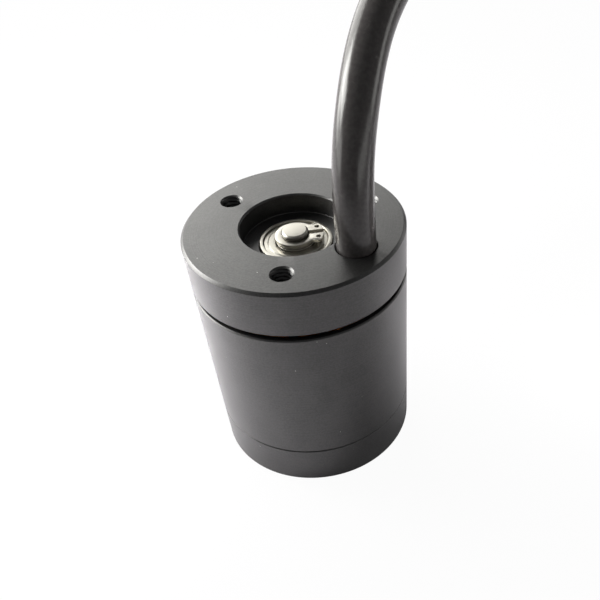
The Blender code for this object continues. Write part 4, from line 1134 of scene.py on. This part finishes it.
def finish_kept():
    """A finish for each CAD node that keeps its own mesh."""
    kept = {
        "lamination": ["stator_core"],
        "insulator coat": ["insulator_upper", "insulator_lower"],
        "zinc steel": ["flux_ring"],
        "bright steel": ["rear_ball_cage", "front_ball_cage"],
        "magnet nickel": [f"magnet_{number:02d}" for number in range(1, 15)],
        "enamelled copper": [f"winding_tail_{number}" for number in range(1, 4)],
    }
    for finish, nodes in kept.items():
        for node in nodes:
            mesh = bpy.data.objects[node].data
            mesh.materials.clear()
            mesh.materials.append(finish_of(finish))


# --- stage ---


def make_camera(stage):
    """The camera, close to the motor and above its front."""
    camera = bpy.data.objects.new("camera", bpy.data.cameras.new("camera"))
    bpy.context.scene.collection.objects.link(camera)
    camera.data.lens = stage.lens
    camera.data.sensor_width = 36.0
    camera.data.shift_x, camera.data.shift_y = stage.shift
    camera.data.clip_start = 0.003
    camera.location = stage.place
    camera.rotation_euler = stage.turn
    bpy.context.scene.camera = camera


def make_lamp(name, place, aim, size, level):
    """A soft rectangular lamp that gives its surface that level of brightness."""
    lamp = bpy.data.lights.new(name, "AREA")
    lamp.shape = "RECTANGLE"
    lamp.size, lamp.size_y = size
    lamp.energy = level * pi * size[0] * size[1]
    lamp.color = (1.0, 0.998, 0.965)
    holder = linked(name, lamp)
    holder.location = place
    holder.rotation_euler = (Vector(place) - Vector(aim)).to_track_quat("Z", "Y").to_euler()
    holder.visible_camera = False
    return holder


def make_softbox(name, turn, rise, width, height, level):
    """A lamp round the motor, placed and sized by angles in degrees as the motor sees it."""
    across, up = radians(turn), radians(rise)
    away = Vector((cos(up) * cos(across), cos(up) * sin(across), sin(up)))
    size = [2 * LAMP_REACH * tan(radians(angle / 2)) for angle in (width, height)]
    make_lamp(name, LAMP_MIDDLE + away * LAMP_REACH, LAMP_MIDDLE, size, level)


def whitened(make, straight, mirrored, dull, output):
    """Lays white over a dull shader: the share seen straight, and the share in metal or glass."""
    path = make.node("ShaderNodeLightPath").socket.node.outputs
    camera, gloss, glass = (Wire(make, path[f"Is {kind} Ray"])
                            for kind in ("Camera", "Glossy", "Transmission"))
    white = make.node("ShaderNodeEmission", inputs={"Color": (1.0, 1.0, 1.0), "Strength": 1.0})
    both = make.node("ShaderNodeMixShader", inputs={
        0: camera * straight + (gloss + glass) * mirrored, 1: dull, 2: white})
    make.feed(make.tree.nodes[output].inputs["Surface"], both)


def make_floor():
    """A wide pale floor at the motor's foot, white to the camera with the object's shadow.

    Near the motor the floor lets a little of its shadow through, and far from it none.
    """
    reach, below = 2.0, 0.02 * MM
    near, far, white = 0.15, 0.6, 0.96
    x, y = np.meshgrid(*[np.linspace(-reach, reach, 3)] * 2)
    floor = linked("floor", raw_mesh(surface(np.stack([x, y, 0 * x - below], -1),
                                             wrap_columns=False)))
    floor.data.materials.append(bpy.data.materials.new("studio floor"))
    make = Finish(floor.active_material)
    make.tree.nodes.remove(make.shader)
    cloth = make.node("ShaderNodeBsdfDiffuse", inputs={"Color": (0.52, 0.506, 0.534)})
    whitened(make, white + make.radius.step(near, far) * (1 - white), 0.1, cloth,
             "Material Output")


def make_world(stage):
    """An even, dim surround that the camera sees as white."""
    bpy.context.scene.world = bpy.data.worlds.new("studio")
    make = Finish(bpy.context.scene.world)
    dim = make.node("ShaderNodeBackground",
                    inputs={"Color": (0.98, 0.99, 1.0), "Strength": stage.world})
    whitened(make, 1.0, 0.04, dim, "World Output")


def make_stage(stage):
    """Camera, floor, surround and lamps."""
    make_camera(stage)
    make_floor()
    make_world(stage)
    bpy.context.scene.view_settings.view_transform = "Standard"
    for name, *angles, level in SOFTBOXES:
        make_softbox(name, *angles, level * stage.lamps)
    for name, place, side, level in FLOOR_LAMPS:
        foot = (*place[:2], 0.0)
        lamp = make_lamp(name, place, foot, (side, side), level * stage.lamps)
        lamp.visible_glossy = False


# --- operators and panel ---


class Making:
    """What every operator here shares."""

    bl_options = {"REGISTER", "UNDO"}


class MOTOR_OT_stage(Making, bpy.types.Operator):
    """Set up the camera, the floor, the surround and the lamps"""

    bl_idname = "motor.stage"
    bl_label = "Stage"

    def execute(self, context):
        make_stage(context.scene.motor_stage)
        return {"FINISHED"}


class MOTOR_OT_cable(Making, bpy.types.Operator):
    """Make the cable with its coil, tie, sleeve, leads and plugs"""

    bl_idname = "motor.cable"
    bl_label = "Cable"

    def execute(self, context):
        make_cable(context.scene.motor_sizes)
        return {"FINISHED"}


class MOTOR_OT_base(Making, bpy.types.Operator):
    """Make the turned base with its bearing tube, holes and seal"""

    bl_idname = "motor.base"
    bl_label = "Base"

    def execute(self, context):
        make_base(context.scene.motor_sizes)
        return {"FINISHED"}


class MOTOR_OT_bearings(Making, bpy.types.Operator):
    """Make the races and shields of both ball bearings"""

    bl_idname = "motor.bearings"
    bl_label = "Bearings"

    def execute(self, context):
        make_bearings()
        return {"FINISHED"}


class MOTOR_OT_shaft(Making, bpy.types.Operator):
    """Make the shaft, its shim and its retaining clip"""

    bl_idname = "motor.shaft"
    bl_label = "Shaft"

    def execute(self, context):
        make_shaft()
        return {"FINISHED"}


class MOTOR_OT_bell(Making, bpy.types.Operator):
    """Make the bell's can and end cap"""

    bl_idname = "motor.bell"
    bl_label = "Bell"

    def execute(self, context):
        make_bell(context.scene.motor_sizes)
        return {"FINISHED"}


class MOTOR_OT_windings(Making, bpy.types.Operator):
    """Wind the twelve coils"""

    bl_idname = "motor.windings"
    bl_label = "Windings"

    def execute(self, context):
        make_windings(context.scene.motor_sizes)
        return {"FINISHED"}


class MOTOR_OT_kept(Making, bpy.types.Operator):
    """Finish the parts that keep their own mesh"""

    bl_idname = "motor.kept"
    bl_label = "Inner Parts"

    def execute(self, context):
        finish_kept()
        return {"FINISHED"}


OPERATORS = (MOTOR_OT_stage, MOTOR_OT_cable, MOTOR_OT_base, MOTOR_OT_bearings, MOTOR_OT_shaft,
             MOTOR_OT_bell, MOTOR_OT_windings, MOTOR_OT_kept)


class MOTOR_PT_panel(bpy.types.Panel):
    """Buttons and sizes of the motor"""

    bl_idname = "MOTOR_PT_panel"
    bl_label = "Motor"
    bl_space_type = "VIEW_3D"
    bl_region_type = "UI"
    bl_category = "Motor"

    def draw(self, context):
        for operator in OPERATORS:
            self.layout.operator(operator.bl_idname)
        for group in GROUPS:
            column = self.layout.column(align=True)
            values = getattr(context.scene, group)
            for name in values.__annotations__:
                column.prop(values, name)


GROUPS = {"motor_sizes": MotorSizes, "motor_finishes": MotorFinishes, "motor_stage": MotorStage}


def register():
    for cls in (*GROUPS.values(), *OPERATORS, MOTOR_PT_panel):
        bpy.utils.register_class(cls)
    for name, group in GROUPS.items():
        setattr(bpy.types.Scene, name, PointerProperty(type=group))


def unregister():
    for name in GROUPS:
        delattr(bpy.types.Scene, name)
    for cls in (MOTOR_PT_panel, *reversed(OPERATORS), *reversed(GROUPS.values())):
        bpy.utils.unregister_class(cls)


def main():
    register()
    for operator in OPERATORS:
        group, name = operator.bl_idname.split(".")
        getattr(getattr(bpy.ops, group), name)()


if __name__ == "__main__":
    main()
